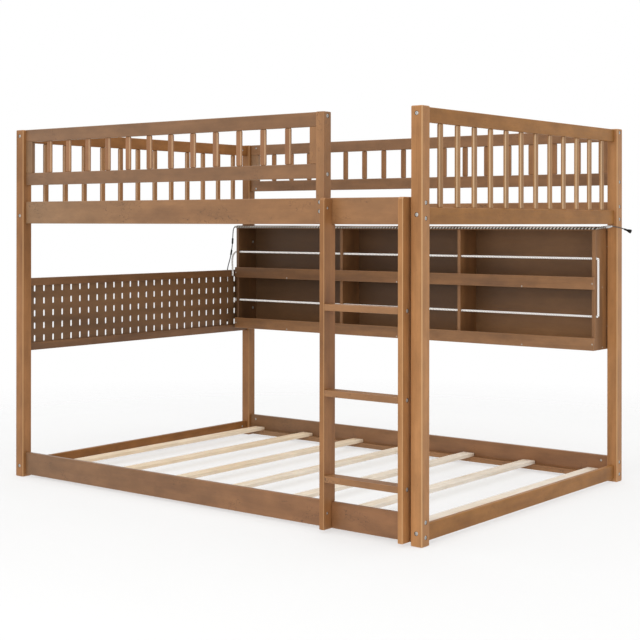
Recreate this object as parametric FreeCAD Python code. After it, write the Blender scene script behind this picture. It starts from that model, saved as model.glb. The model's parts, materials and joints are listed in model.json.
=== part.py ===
import FreeCAD, Part
import math
import os

from FreeCAD import Vector

# A full-over-full bunk bed of stained pine, in millimetres.
# X runs along the bed, Y from the ladder side to the shelf side, Z up.
# The origin is on the floor, in the middle of the frame's footprint with the ladder.

# Overall frame
frame_length = 2018.0
frame_width = 1460.0
frame_height = 1430.0
post_size = 45.0
post_edge_chamfer = 3.5
post_top_chamfer = 2.5

# Rails: long ones run along X, end ones along Y
rail_thickness = 18.0
long_rail_height = 90.0
lower_rail_bottom = 10.0
upper_rail_drop = 386.0
end_rail_height = 56.0
end_rail_lift = 2.0
guard_rail_height = 50.0
guard_mid_drop = 228.0
end_top_drop = 2.0

# Pickets and the flat stiles that close a guard's ends
picket_width = 25.0
picket_thickness = 11.0
end_picket_count = 12
front_picket_count = 12
rear_picket_count = 16
front_guard_stile_width = 38.0
rear_guard_stile_width = 46.0

# Ladder, and the guard post beside its opening
ladder_reach = 32.0
ladder_width = 342.4
ladder_post_gap = 9.0
ladder_stile_thickness = 20.0
ladder_top_radius = 10.0
rung_depth = 51.5
rung_thickness = 22.0
rung_front_inset = 0.5
rung_first_height = 183.3
rung_head_gap = 280.6
rung_count = 3
guard_post_thickness = 35.0
guard_post_depth = 42.0
guard_post_gap = 6.6
guard_post_lift = 5.0

# Slats on their ledgers
slat_width = 56.0
slat_thickness = 14.0
slat_end_margin = 64.0
slat_count = 7
slat_end_gap = 1.0
ledger_depth = 28.0
ledger_height = 21.0
ledger_nut_clearance = 1.0

# Pegboard between the two left posts
peg_head_gap = 227.0
peg_height = 300.0
peg_rail_height = 32.0
peg_panel_thickness = 5.0
peg_groove_depth = 8.0
peg_slot_length = 24.0
peg_slot_width = 8.0
peg_column_pitch = 50.0
peg_row_pitch = 52.0
peg_column_margin = 30.0
peg_row_margin = 1.0

# Bookshelf between the two rear posts
shelf_end_gap = 3.5
shelf_head_gap = 10.0
shelf_height = 498.0
shelf_depth = 135.0
shelf_back_inset = 8.0
shelf_board_thickness = 15.0
shelf_back_thickness = 5.0
shelf_middle_rise = 245.0
shelf_bay_count = 3
lip_height = 50.0
lip_thickness = 12.0

# Rope light laced through the shelf's sides and dividers
rope_diameter = 9.5
rope_hole_diameter = 13.0
rope_front_inset = 13.0
rope_upper_rise = 369.4
rope_lower_rise = 136.0
rope_loop_offset = 6.7
rope_loop_radius = 12.0
rope_tail_radius = 14.0
rope_cap_diameter = 15.0
rope_cap_length = 8.0
rope_cap_offset = 8.0

# String of lights along the shelf's top front edge, with its two leads
string_diameter = 10.0
string_clearance = 0.3
string_drop = 7.0
string_corner_radius = 8.0
string_start_out = 3.5
string_end_side_run = 65.0
string_end_run = 4.8
string_end_out = 6.4
string_end_rises = (4.5, 5.4)
lead_diameter = 4.5

# Connector bolts with their cross nuts
bolt_head_diameter = 13.0
bolt_head_thickness = 3.0
bolt_recess_diameter = 15.0
bolt_recess_depth = 3.5
bolt_diameter = 6.0
nut_diameter = 10.0
nut_length = 14.0
nut_hole_depth = 15.0
nut_inset = 33.0
rung_bolt_reach = 38.0
lap_bolt_reach = 12.0
shelf_bolt_reach = 28.0
ladder_nut_reach = 26.0
bolt_sides = 6
rope_hole_sides = 8
cord_sides = 6
fitting_sides = 8
bend_share = 0.45

# Heights of the bolts, each measured from the bottom of the rail that it holds
lower_long_bolt_rises = (20.0, 69.0)
upper_long_bolt_rises = (20.0, 71.0)
guard_top_bolt_rise = 35.0
guard_mid_bolt_rise = 13.0
end_top_bolt_rise = 27.0
end_bed_bolt_rise = 32.0
lap_bolt_rises = (44.0, 76.0)
ladder_bolt_rise = 55.0
shelf_bolt_rises = (93.0, 417.0)
shelf_bolt_back_inset = 27.0
rung_bolt_inset = 27.0

cut_overrun = 1.0

# Places worked out from the sizes above
half_length = frame_length / 2
front_y = ladder_reach - (frame_width + ladder_reach) / 2
rear_y = front_y + frame_width
post_inner_x = half_length - post_size
front_inner_y = front_y + post_size
rear_inner_y = rear_y - post_size
rail_inset = (post_size - rail_thickness) / 2
front_rail_y = front_y + rail_inset
rear_rail_y = rear_y - rail_inset - rail_thickness
end_rail_x = post_inner_x + rail_inset
end_rail_middle_x = end_rail_x + rail_thickness / 2
upper_rail_bottom = frame_height - upper_rail_drop
upper_rail_top = upper_rail_bottom + long_rail_height
guard_mid_bottom = frame_height - guard_mid_drop
guard_mid_top = guard_mid_bottom + guard_rail_height
guard_top_bottom = frame_height - guard_rail_height
end_bed_top = upper_rail_bottom + end_rail_height
end_top_bottom = guard_top_bottom - end_top_drop
ladder_right_x = post_inner_x - ladder_post_gap
ladder_left_x = ladder_right_x - ladder_width
guard_post_right_x = ladder_left_x - guard_post_gap
guard_post_left_x = guard_post_right_x - guard_post_thickness
shelf_half = post_inner_x - shelf_end_gap
shelf_bottom = upper_rail_bottom - shelf_head_gap - shelf_height
shelf_inner_x = shelf_half - shelf_board_thickness
shelf_back_y = rear_y - shelf_back_inset
shelf_front_y = shelf_back_y - shelf_depth
shelf_top = shelf_bottom + shelf_height
shelf_bay_pitch = 2 * (shelf_inner_x + shelf_board_thickness / 2) / shelf_bay_count
shelf_middle = shelf_bottom + shelf_middle_rise
rope_y = shelf_front_y + rope_front_inset
rope_upper_z = shelf_bottom + rope_upper_rise
rope_lower_z = shelf_bottom + rope_lower_rise
string_y = shelf_front_y - string_diameter / 2 - string_clearance
string_z = shelf_top - string_drop
string_side_x = shelf_half + string_diameter / 2 + string_clearance

pieces = {}
drillings = {}


def box(x0, x1, y0, y1, z0, z1):
    """A board between two opposite corners."""
    return Part.makeBox(x1 - x0, y1 - y0, z1 - z0, Vector(x0, y0, z0))


def ring(sides, radius, centre, axis, facing):
    """A regular polygon square to axis, with one of its sides turned to face facing."""
    across = axis.cross(facing)
    corners = []
    for index in range(sides + 1):
        angle = (index + 0.5) * 2 * math.pi / sides
        corners.append(centre + facing * (radius * math.cos(angle)) + across * (radius * math.sin(angle)))
    return Part.makePolygon(corners)


def prism(sides, flats, start, axis, facing, length):
    """A regular prism along axis, with one of its flats turned to face facing."""
    radius = flats / 2 / math.cos(math.pi / sides)
    return Part.Face(ring(sides, radius, start, axis, facing)).extrude(axis * length)


def square_to(axis):
    """A direction square to axis, level where it can be."""
    level = Vector(0, 0, 1).cross(axis)
    if level.Length < abs(axis.z):
        level = axis.cross(Vector(0, 1, 0))
    level.normalize()
    return level


def add(name, shapes):
    """Keep one node: a single solid or a group of separate solids."""
    pieces[name] = list(shapes) if isinstance(shapes, (list, tuple)) else [shapes]


def drill(name, tool):
    """Remember a hole that is cut from a node before it is written."""
    drillings.setdefault(name, []).append(tool)


def drilled(name):
    """A node's solids with all its holes cut."""
    solids = pieces[name]
    if name not in drillings:
        return solids
    tools = Part.makeCompound(drillings[name])
    cut_solids = []
    for solid in solids:
        cut_solids.extend(solid.cut(tools).Solids)
    return cut_solids


# The four corner posts
post_names = {(-1, -1): "front_left_post", (1, -1): "front_right_post",
              (-1, 1): "rear_left_post", (1, 1): "rear_right_post"}


def corner_post(side_x, side_y):
    """One square post, its long edges and its top edges eased."""
    x0 = post_inner_x if side_x > 0 else -half_length
    y0 = rear_inner_y if side_y > 0 else front_y
    blank = box(x0, x0 + post_size, y0, y0 + post_size, 0, frame_height)
    upright = [edge for edge in blank.Edges if edge.BoundBox.ZLength > post_size]
    blank = blank.makeChamfer(post_edge_chamfer, upright)
    top = [edge for edge in blank.Edges if edge.BoundBox.ZMin > frame_height - post_top_chamfer / 2]
    return blank.makeChamfer(post_top_chamfer, top)


for (side_x, side_y), name in post_names.items():
    add(name, corner_post(side_x, side_y))


# Long rails and guards, front and rear
def long_rail(y0, x0, x1, z0, height):
    """A board along X between two upright members."""
    return box(x0, x1, y0, y0 + rail_thickness, z0, z0 + height)


def guard_pickets(y0, x0, x1, stile_width, count):
    """Pickets spread with equal gaps between the two end stiles of a guard."""
    first = x0 + stile_width
    gap = (x1 - stile_width - first - count * picket_width) / (count + 1)
    y = y0 + (rail_thickness - picket_thickness) / 2
    rows = []
    for index in range(count):
        x = first + gap + index * (gap + picket_width)
        rows.append(box(x, x + picket_width, y, y + picket_thickness, guard_mid_top, guard_top_bottom))
    return rows


def long_side(side, y0, guard_end, stile_width, count):
    """The two bed rails and the guard of one long side."""
    start = -post_inner_x
    add(side + "_lower_rail", long_rail(y0, start, post_inner_x, lower_rail_bottom, long_rail_height))
    add(side + "_upper_rail", long_rail(y0, start, post_inner_x, upper_rail_bottom, long_rail_height))
    add(side + "_guard_top_rail", long_rail(y0, start, guard_end, guard_top_bottom, guard_rail_height))
    add(side + "_guard_middle_rail", long_rail(y0, start, guard_end, guard_mid_bottom, guard_rail_height))
    stile_height = guard_top_bottom - guard_mid_top
    add(side + "_guard_stiles",
        [long_rail(y0, start, start + stile_width, guard_mid_top, stile_height),
         long_rail(y0, guard_end - stile_width, guard_end, guard_mid_top, stile_height)])
    add(side + "_guard_pickets", guard_pickets(y0, start, guard_end, stile_width, count))


long_side("front", front_rail_y, guard_post_left_x, front_guard_stile_width, front_picket_count)
long_side("rear", rear_rail_y, post_inner_x, rear_guard_stile_width, rear_picket_count)


# End frames, left and right
def end_rail(side_x, z0, height):
    """A board along Y between the two posts of one end."""
    x0 = end_rail_x if side_x > 0 else -end_rail_x - rail_thickness
    return box(x0, x0 + rail_thickness, front_inner_y, rear_inner_y, z0, z0 + height)


def end_pickets(side_x):
    """Pickets spread with equal gaps between the posts of one end."""
    gap = (rear_inner_y - front_inner_y - end_picket_count * picket_width) / (end_picket_count + 1)
    x0 = side_x * end_rail_middle_x - picket_thickness / 2
    rows = []
    for index in range(end_picket_count):
        y = front_inner_y + gap + index * (gap + picket_width)
        rows.append(box(x0, x0 + picket_thickness, y, y + picket_width, end_bed_top, end_top_bottom))
    return rows


for side, side_x in (("left", -1), ("right", 1)):
    add(side + "_lower_rail", end_rail(side_x, lower_rail_bottom + end_rail_lift, end_rail_height))
    add(side + "_upper_rail", end_rail(side_x, upper_rail_bottom, end_rail_height))
    add(side + "_top_rail", end_rail(side_x, end_top_bottom, guard_rail_height))
    add(side + "_end_pickets", end_pickets(side_x))


# Slats, and the ledgers that carry them along the long rails
ledger_half = post_inner_x - nut_inset - nut_diameter / 2 - ledger_nut_clearance
front_ledger_y = front_rail_y + rail_thickness
rear_ledger_y = rear_rail_y - ledger_depth
for deck, z in (("lower", lower_rail_bottom), ("upper", upper_rail_bottom)):
    for side, y in (("front", front_ledger_y), ("rear", rear_ledger_y)):
        add(side + "_" + deck + "_ledger",
            box(-ledger_half, ledger_half, y, y + ledger_depth, z, z + ledger_height))
    slat_pitch = 2 * (post_inner_x - slat_end_margin) / (slat_count - 1)
    slats = []
    for index in range(slat_count):
        x = (index - (slat_count - 1) / 2) * slat_pitch - slat_width / 2
        slats.append(box(x, x + slat_width, front_ledger_y + slat_end_gap, rear_rail_y - slat_end_gap,
                         z + ledger_height, z + ledger_height + slat_thickness))
    add(deck + "_slats", slats)


# Guard post: full section above the bed rail, a lap in front of the rail below
def guard_post():
    """Post beside the ladder opening, notched over the upper rail's face."""
    bottom = upper_rail_bottom + guard_post_lift
    y1 = front_y + guard_post_depth
    blank = box(guard_post_left_x, guard_post_right_x, front_y, y1, bottom, frame_height)
    notch = box(guard_post_left_x - cut_overrun, guard_post_right_x + cut_overrun,
                front_rail_y, y1 + cut_overrun, bottom - cut_overrun, upper_rail_top)
    return blank.cut(notch)


add("guard_post", guard_post())


# Ladder: notched stiles that hook over both front rails, and the rungs between them
ladder_front_y = front_y - ladder_reach
ladder_rear_y = front_rail_y + rail_thickness
lower_rail_top = lower_rail_bottom + long_rail_height


def ladder_stile(x0):
    """A stile cut to its side profile, its upper front corner rounded."""
    turn = ladder_top_radius * (1 - math.sqrt(0.5))
    top_start = Vector(x0, ladder_front_y, upper_rail_top - ladder_top_radius)
    top_middle = Vector(x0, ladder_front_y + turn, upper_rail_top - turn)
    top_end = Vector(x0, ladder_front_y + ladder_top_radius, upper_rail_top)
    rest = [(front_rail_y, upper_rail_top), (front_rail_y, upper_rail_bottom),
            (ladder_rear_y, upper_rail_bottom), (ladder_rear_y, lower_rail_top),
            (front_rail_y, lower_rail_top), (front_rail_y, lower_rail_bottom),
            (ladder_front_y, lower_rail_bottom)]
    corners = [top_end] + [Vector(x0, y, z) for y, z in rest] + [top_start]
    edges = [Part.Arc(top_start, top_middle, top_end).toShape()]
    edges += [Part.LineSegment(a, b).toShape() for a, b in zip(corners, corners[1:])]
    return Part.Face(Part.Wire(edges)).extrude(Vector(ladder_stile_thickness, 0, 0))


add("ladder_left_stile", ladder_stile(ladder_left_x))
add("ladder_right_stile", ladder_stile(ladder_right_x - ladder_stile_thickness))
rung_y = ladder_front_y + rung_front_inset
rung_pitch = (upper_rail_bottom - rung_head_gap - rung_first_height) / (rung_count - 1)
rung_names = ("ladder_low_rung", "ladder_middle_rung", "ladder_high_rung")
for index in range(rung_count):
    z = rung_first_height + index * rung_pitch - rung_thickness / 2
    add(rung_names[index],
        box(ladder_left_x + ladder_stile_thickness, ladder_right_x - ladder_stile_thickness,
            rung_y, rung_y + rung_depth, z, z + rung_thickness))


# Pegboard: a slotted panel held in the grooves of two rails between the left posts
peg_top = upper_rail_bottom - peg_head_gap
peg_bottom = peg_top - peg_height
peg_width = rear_inner_y - front_inner_y
peg_open_height = peg_height - 2 * peg_rail_height
peg_columns = 1 + int((peg_width - 2 * peg_column_margin) / peg_column_pitch)
peg_rows = 1 + int((peg_open_height - peg_slot_length - 2 * peg_row_margin) / peg_row_pitch)
peg_panel_x = -end_rail_middle_x - peg_panel_thickness / 2


def slot_outline(y, z):
    """One upright slot on the panel's outer face."""
    half_width = peg_slot_width / 2
    half_height = peg_slot_length / 2
    corners = [Vector(peg_panel_x, y + across, z + up) for across, up in
               ((half_width, half_height), (-half_width, half_height),
                (-half_width, -half_height), (half_width, -half_height))]
    return Part.makePolygon(corners + [corners[0]])


def pegboard_panel():
    """The thin panel with its rows and columns of slots."""
    z0 = peg_bottom + peg_rail_height - peg_groove_depth
    z1 = peg_top - peg_rail_height + peg_groove_depth
    corners = [Vector(peg_panel_x, y, z) for y, z in
               ((front_inner_y, z0), (rear_inner_y, z0), (rear_inner_y, z1), (front_inner_y, z1))]
    outline = Part.makePolygon(corners + [corners[0]])
    middle_y = (front_inner_y + rear_inner_y) / 2
    middle_z = (z0 + z1) / 2
    slots = []
    for column in range(peg_columns):
        for row in range(peg_rows):
            y = middle_y + (column - (peg_columns - 1) / 2) * peg_column_pitch
            z = middle_z + (row - (peg_rows - 1) / 2) * peg_row_pitch
            slots.append(slot_outline(y, z))
    face = Part.Face([outline] + slots, "Part::FaceMakerBullseye")
    return face.extrude(Vector(peg_panel_thickness, 0, 0))


def pegboard_rail(z0, groove_z0):
    """A rail of the pegboard with the groove that takes the panel's edge."""
    blank = end_rail(-1, z0, peg_rail_height)
    groove = box(peg_panel_x, peg_panel_x + peg_panel_thickness, front_inner_y - cut_overrun,
                 rear_inner_y + cut_overrun, groove_z0, groove_z0 + peg_groove_depth)
    return blank.cut(groove)


add("pegboard_panel", pegboard_panel())
add("pegboard_bottom_rail", pegboard_rail(peg_bottom, peg_bottom + peg_rail_height - peg_groove_depth))
add("pegboard_top_rail", pegboard_rail(peg_top - peg_rail_height, peg_top - peg_rail_height))


# Bookshelf between the rear posts
board_back_y = shelf_back_y - shelf_back_thickness


def shelf_board(z0):
    """A level board of the shelf between its two sides."""
    return box(-shelf_inner_x, shelf_inner_x, shelf_front_y, board_back_y, z0, z0 + shelf_board_thickness)


def shelf_lip(z0):
    """The strip across the front that keeps books on a board."""
    return box(-shelf_half, shelf_half, shelf_front_y - lip_thickness, shelf_front_y, z0, z0 + lip_height)


def shelf_divider(x, z0, z1):
    """An upright divider between two boards."""
    half = shelf_board_thickness / 2
    return box(x - half, x + half, shelf_front_y, board_back_y, z0, z1)


for side, x0 in (("left", -shelf_half), ("right", shelf_inner_x)):
    add("shelf_" + side + "_side",
        box(x0, x0 + shelf_board_thickness, shelf_front_y, shelf_back_y, shelf_bottom, shelf_top))
add("shelf_bottom_board", shelf_board(shelf_bottom))
add("shelf_middle_board", shelf_board(shelf_middle))
add("shelf_top_board", shelf_board(shelf_top - shelf_board_thickness))
add("shelf_bottom_lip", shelf_lip(shelf_bottom))
add("shelf_middle_lip", shelf_lip(shelf_middle))
add("shelf_back", box(-shelf_inner_x, shelf_inner_x, board_back_y, shelf_back_y, shelf_bottom, shelf_top))
lower_bay = (shelf_bottom + shelf_board_thickness, shelf_middle)
upper_bay = (shelf_middle + shelf_board_thickness, shelf_top - shelf_board_thickness)
divider_places = [(side * shelf_bay_pitch / 2, bay) for bay in (lower_bay, upper_bay) for side in (-1, 1)]
add("shelf_dividers", [shelf_divider(x, bay[0], bay[1]) for x, bay in divider_places])

# Holes that the rope light runs through
for z in (rope_upper_z, rope_lower_z):
    for name, x0 in (("shelf_left_side", -shelf_half), ("shelf_right_side", shelf_inner_x),
                     ("shelf_dividers", -(shelf_bay_pitch + shelf_board_thickness) / 2),
                     ("shelf_dividers", (shelf_bay_pitch - shelf_board_thickness) / 2)):
        drill(name, prism(rope_hole_sides, rope_hole_diameter, Vector(x0 - cut_overrun, rope_y, z),
                          Vector(1, 0, 0), Vector(0, 0, 1), shelf_board_thickness + 2 * cut_overrun))


# Cords: straight runs joined by tangent arcs
def cord_wire(points, radii=None):
    """Centre line through the points; radii may fix single bends by index."""
    edges = []
    bend_radii = []
    last = points[0]
    for index in range(1, len(points) - 1):
        before = points[index - 1] - points[index]
        after = points[index + 1] - points[index]
        half_turn = (math.pi - before.getAngle(after)) / 2
        radius = bend_share * min(before.Length, after.Length) / math.tan(half_turn)
        if radii and index in radii:
            radius = radii[index]
        reach = radius * math.tan(half_turn)
        before.normalize()
        after.normalize()
        start = points[index] + before * reach
        end = points[index] + after * reach
        inward = before + after
        inward.normalize()
        middle = points[index] + inward * (radius / math.cos(half_turn) - radius)
        edges.append(Part.LineSegment(last, start).toShape())
        edges.append(Part.Arc(start, middle, end).toShape())
        bend_radii.append(round(radius, 1))
        last = end
    edges.append(Part.LineSegment(last, points[-1]).toShape())
    return Part.Wire(edges), bend_radii


def cord_tube(name, points, diameter, radii=None):
    """The cord as a tube of the round cord's section; its radii, length and volume are printed."""
    wire, bend_radii = cord_wire(points, radii)
    direction = points[1] - points[0]
    direction.normalize()
    section = math.pi * diameter ** 2 / 4
    corner_radius = math.sqrt(2 * section / (cord_sides * math.sin(2 * math.pi / cord_sides)))
    outline = ring(cord_sides, corner_radius, points[0], direction, square_to(direction))
    tube = wire.makePipeShell([outline], True, False)
    print(name, "radii", bend_radii, "length", round(wire.Length, 1),
          "volume over section times length", round(tube.Volume / (section * wire.Length), 4))
    return tube


def left_route(start, steps):
    """Points left of, in front of and below a point at the shelf's left end."""
    return [start + Vector(-out, -forward, -down) for out, forward, down in steps]


# Rope light: an end hangs outside the left side, the middle turns down outside the right side
rope_loop_x = shelf_half + rope_loop_offset
rope_tail_steps = ((0.5, 38.0, 108.4), (6.5, 33.0, 82.4), (16.5, 26.0, 53.4), (23.5, 14.0, 17.4),
                   (17.5, 0.0, 0.0))
rope_points = left_route(Vector(-shelf_half, rope_y, rope_upper_z), rope_tail_steps)
rope_points += [Vector(rope_loop_x, rope_y, rope_upper_z), Vector(rope_loop_x, rope_y, rope_lower_z),
                Vector(-shelf_half - rope_cap_offset, rope_y, rope_lower_z)]
rope_radii = {4: rope_tail_radius, 5: rope_loop_radius, 6: rope_loop_radius}
add("shelf_rope_light", cord_tube("rope light", rope_points, rope_diameter, rope_radii))


def cap(end, direction, diameter, length):
    """A cap that closes the end of a rope light."""
    return prism(fitting_sides, diameter, end, direction, square_to(direction), length)


tail_direction = rope_points[0] - rope_points[1]
tail_direction.normalize()
add("rope_light_caps",
    [cap(rope_points[0], tail_direction, rope_diameter, rope_cap_length),
     cap(rope_points[-1], Vector(-1, 0, 0), rope_cap_diameter, rope_cap_length)])

# String of lights: along the top board's front edge, round the corner, along the side's edge
string_start = Vector(-shelf_half - string_start_out, string_y, string_z)
string_turn_y = shelf_front_y + string_end_side_run
string_points = [string_start, Vector(string_side_x, string_y, string_z),
                 Vector(string_side_x, string_turn_y, string_z + string_end_rises[0]),
                 Vector(string_side_x + string_end_out, string_turn_y + string_end_run,
                        string_z + string_end_rises[1])]
string_radii = {1: string_corner_radius}
add("shelf_string_light", cord_tube("string light", string_points, string_diameter, string_radii))


def turned_piece(start, direction, rings):
    """A tapered piece along direction; rings are pairs of a distance along it and a width there."""
    axis = Vector(direction)
    axis.normalize()
    facing = square_to(axis)
    outlines = []
    for distance, width in rings:
        outlines.append(ring(fitting_sides, width / 2, start + axis * distance, axis, facing))
    return Part.makeLoft(outlines, True, True)


# Right lead: a white connector on the string's end, a short lead and a flared plug
connector_length = 26.0
connector_large = 11.0
connector_small = 7.5
connector_step_share = 0.35
connector_start = string_points[-1]
connector_direction = string_points[-1] - string_points[-2]
connector_direction.normalize()
connector_end = connector_start + connector_direction * connector_length
right_lead_steps = ((0.0, 0.0, 0.0), (9.1, 6.0, -1.7), (21.1, 8.0, -3.5), (35.1, 9.0, -6.7),
                    (48.1, 9.9, -11.3))
right_lead_points = [connector_end + Vector(x, y, z) for x, y, z in right_lead_steps]
add("right_lead", cord_tube("right lead", right_lead_points, lead_diameter))
plug_length = 30.0
plug_neck = 8.0
plug_mouth = 16.0
plug_flare_share = 0.5
plug_direction = right_lead_points[-1] - right_lead_points[-2]
plug_direction.normalize()
add("right_lead_fittings",
    [turned_piece(connector_start, connector_direction,
                  ((0, connector_large), (connector_length * connector_step_share, connector_large),
                   (connector_length, connector_small))),
     turned_piece(right_lead_points[-1], plug_direction,
                  ((0, plug_neck), (plug_length * plug_flare_share, plug_mouth),
                   (plug_length, plug_mouth)))])

# Left lead: two inline pieces, then over the pegboard's top rail and down to a flat plug
left_lead_steps = ((0.0, 0.0, 0.0), (7.0, 0.1, 3.4), (11.5, 0.5, 13.0), (13.0, 1.1, 30.0), (13.6, 2.1, 55.0),
                   (14.8, 3.1, 83.0), (17.5, 5.2, 111.0), (20.8, 7.7, 138.0), (26.2, 11.2, 166.0),
                   (32.8, 14.7, 191.0), (36.5, 16.7, 215.0), (37.6, 17.5, 257.0), (36.9, 18.1, 317.0),
                   (38.0, 18.3, 377.0), (37.6, 18.7, 427.0))
left_lead_points = left_route(string_start, left_lead_steps)
left_lead = cord_tube("left lead", left_lead_points, lead_diameter)
add("left_lead", left_lead)
inline_diameter = 8.5
inline_taper = 3.0
usb_width = 16.0
usb_thickness = 8.0
usb_length = 36.0


def inline_piece(first, last):
    """A tapered sleeve threaded on the lead between two of its points."""
    along = left_lead_points[last] - left_lead_points[first]
    length = along.Length
    ends = lead_diameter + inline_taper / 2
    rings = ((0, ends), (inline_taper, inline_diameter),
             (length - inline_taper, inline_diameter), (length, ends))
    return turned_piece(left_lead_points[first], along, rings).cut(left_lead)


usb_top = left_lead_points[-1]
add("left_lead_fittings",
    [inline_piece(4, 5), inline_piece(6, 7),
     box(usb_top.x - usb_thickness / 2, usb_top.x + usb_thickness / 2, usb_top.y - usb_width / 2,
         usb_top.y + usb_width / 2, usb_top.z - usb_length, usb_top.z)])


# Connector bolts: a sunk head, a shank and, where it enters a board's end, a cross nut
nut_gap = nut_diameter / 2


def bolt(start, along, facing, length, through, entered):
    """One bolt from the face of through into entered, with both their holes."""
    head_start = start + along * (bolt_recess_depth - bolt_head_thickness)
    shank_start = start + along * bolt_recess_depth
    head = prism(bolt_sides, bolt_head_diameter, head_start, along, facing, bolt_head_thickness)
    shank_length = length - bolt_recess_depth
    shank = prism(bolt_sides, bolt_diameter, shank_start, along, facing, shank_length)
    mouth = start - along * cut_overrun
    recess = prism(bolt_sides, bolt_recess_diameter, mouth, along, facing, bolt_recess_depth + cut_overrun)
    for name in through:
        drill(name, recess)
        drill(name, shank)
    for name in entered:
        drill(name, shank)
    return head.fuse(shank)


def cross_nut(centre, along, inward, board, board_thickness=rail_thickness):
    """The nut that a bolt pulls on, in its hole from the board's inner face."""
    face = centre + inward * (board_thickness / 2)
    drill(board, prism(bolt_sides, nut_diameter, face + inward * cut_overrun, -inward, along,
                       nut_hole_depth + cut_overrun))
    return prism(bolt_sides, nut_diameter, face - inward * nut_hole_depth, inward, along, nut_length)


frame_bolts = []
cross_nuts = []
end_bolt_length = post_size + nut_inset - nut_gap


def end_bolt(side_x, side_y, z, board):
    """A bolt along Y through a post into the end of an end rail."""
    along = Vector(0, -side_y, 0)
    inward = Vector(-side_x, 0, 0)
    start = Vector(side_x * end_rail_middle_x, rear_y if side_y > 0 else front_y, z)
    frame_bolts.append(bolt(start, along, inward, end_bolt_length, [post_names[side_x, side_y]], [board]))
    cross_nuts.append(cross_nut(start + along * (post_size + nut_inset), along, inward, board))


def side_bolt(side_x, side_y, z, board, first=None, depth=post_size):
    """A bolt along X through a post into the end of a long rail."""
    along = Vector(-side_x, 0, 0)
    inward = Vector(0, -side_y, 0)
    rail_y = rear_rail_y if side_y > 0 else front_rail_y
    post = first or post_names[side_x, side_y]
    start_x = guard_post_right_x if first else side_x * half_length
    start = Vector(start_x, rail_y + rail_thickness / 2, z)
    length = depth + nut_inset - nut_gap
    frame_bolts.append(bolt(start, along, inward, length, [post], [board]))
    cross_nuts.append(cross_nut(start + along * (depth + nut_inset), along, inward, board))


for (side_x, side_y) in post_names:
    end = "right" if side_x > 0 else "left"
    side = "rear" if side_y > 0 else "front"
    end_bolt(side_x, side_y, end_top_bottom + end_top_bolt_rise, end + "_top_rail")
    end_bolt(side_x, side_y, upper_rail_bottom + end_bed_bolt_rise, end + "_upper_rail")
    end_bolt(side_x, side_y, lower_rail_bottom + end_rail_lift + end_bed_bolt_rise, end + "_lower_rail")
    for rise in lower_long_bolt_rises:
        side_bolt(side_x, side_y, lower_rail_bottom + rise, side + "_lower_rail")
    for rise in upper_long_bolt_rises:
        side_bolt(side_x, side_y, upper_rail_bottom + rise, side + "_upper_rail")
    if (side_x, side_y) != (1, -1):
        side_bolt(side_x, side_y, guard_top_bottom + guard_top_bolt_rise, side + "_guard_top_rail")
        side_bolt(side_x, side_y, guard_mid_bottom + guard_mid_bolt_rise, side + "_guard_middle_rail")

# The guard post is bolted to the ends of both guard rails, and through its lap to the bed rail
for z, board in ((guard_top_bottom + guard_top_bolt_rise, "front_guard_top_rail"),
                 (guard_mid_bottom + guard_mid_bolt_rise, "front_guard_middle_rail")):
    side_bolt(1, -1, z, board, "guard_post", guard_post_thickness)
for rise in lap_bolt_rises:
    start = Vector((guard_post_left_x + guard_post_right_x) / 2, front_y, upper_rail_bottom + rise)
    frame_bolts.append(bolt(start, Vector(0, 1, 0), Vector(1, 0, 0), rail_inset + lap_bolt_reach,
                            ["guard_post"], ["front_upper_rail"]))
add("frame_bolts", frame_bolts)

# Ladder bolts: through each stile into the rungs, and from the rails into the stiles
ladder_bolts = []
ladder_sides = (("ladder_left_stile", ladder_left_x, 1), ("ladder_right_stile", ladder_right_x, -1))
for stile, outer_x, inward_sign in ladder_sides:
    inward = Vector(inward_sign, 0, 0)
    for index in range(rung_count):
        start = Vector(outer_x, ladder_front_y + rung_bolt_inset, rung_first_height + index * rung_pitch)
        ladder_bolts.append(bolt(start, inward, Vector(0, 1, 0), rung_bolt_reach + ladder_stile_thickness,
                                 [stile], [rung_names[index]]))
    for board, z in (("front_lower_rail", lower_rail_bottom + ladder_bolt_rise),
                     ("front_upper_rail", upper_rail_bottom + ladder_bolt_rise)):
        start = Vector(outer_x + inward_sign * ladder_stile_thickness / 2, ladder_rear_y, z)
        length = rail_thickness + ladder_nut_reach - nut_gap
        ladder_bolts.append(bolt(start, Vector(0, -1, 0), inward, length, [board], [stile]))
        centre = Vector(start.x, front_rail_y - ladder_nut_reach, z)
        cross_nuts.append(cross_nut(centre, Vector(0, -1, 0), inward, stile, ladder_stile_thickness))
add("ladder_bolts", ladder_bolts)
add("cross_nuts", cross_nuts)

# Shelf bolts: from inside each side of the shelf into the rear posts
shelf_bolts = []
for side_x, side, post in ((-1, "shelf_left_side", "rear_left_post"),
                           (1, "shelf_right_side", "rear_right_post")):
    for rise in shelf_bolt_rises:
        start = Vector(side_x * shelf_inner_x, shelf_back_y - shelf_bolt_back_inset, shelf_bottom + rise)
        length = post_inner_x - shelf_inner_x + shelf_bolt_reach
        shelf_bolts.append(bolt(start, Vector(side_x, 0, 0), Vector(0, 0, 1), length, [side], [post]))
add("shelf_bolts", shelf_bolts)


os.makedirs("parts", exist_ok=True)
for name in pieces:
    solids = drilled(name)
    for solid in solids:
        if not solid.isValid():
            print("invalid solid in", name)
    shape = solids[0] if len(solids) == 1 else Part.makeCompound(solids)
    shape.exportStep("parts/" + name + ".step")
print(len(pieces), "nodes written")
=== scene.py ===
"""Looks of a stained pine bunk bed with a ladder, a slotted board and a lit bookshelf."""

import json
import logging
import math
import random
from dataclasses import dataclass, field, replace
from enum import Enum, StrEnum
from typing import Iterable, Sequence

import bmesh
import bpy
from mathutils import Matrix, Vector

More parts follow.
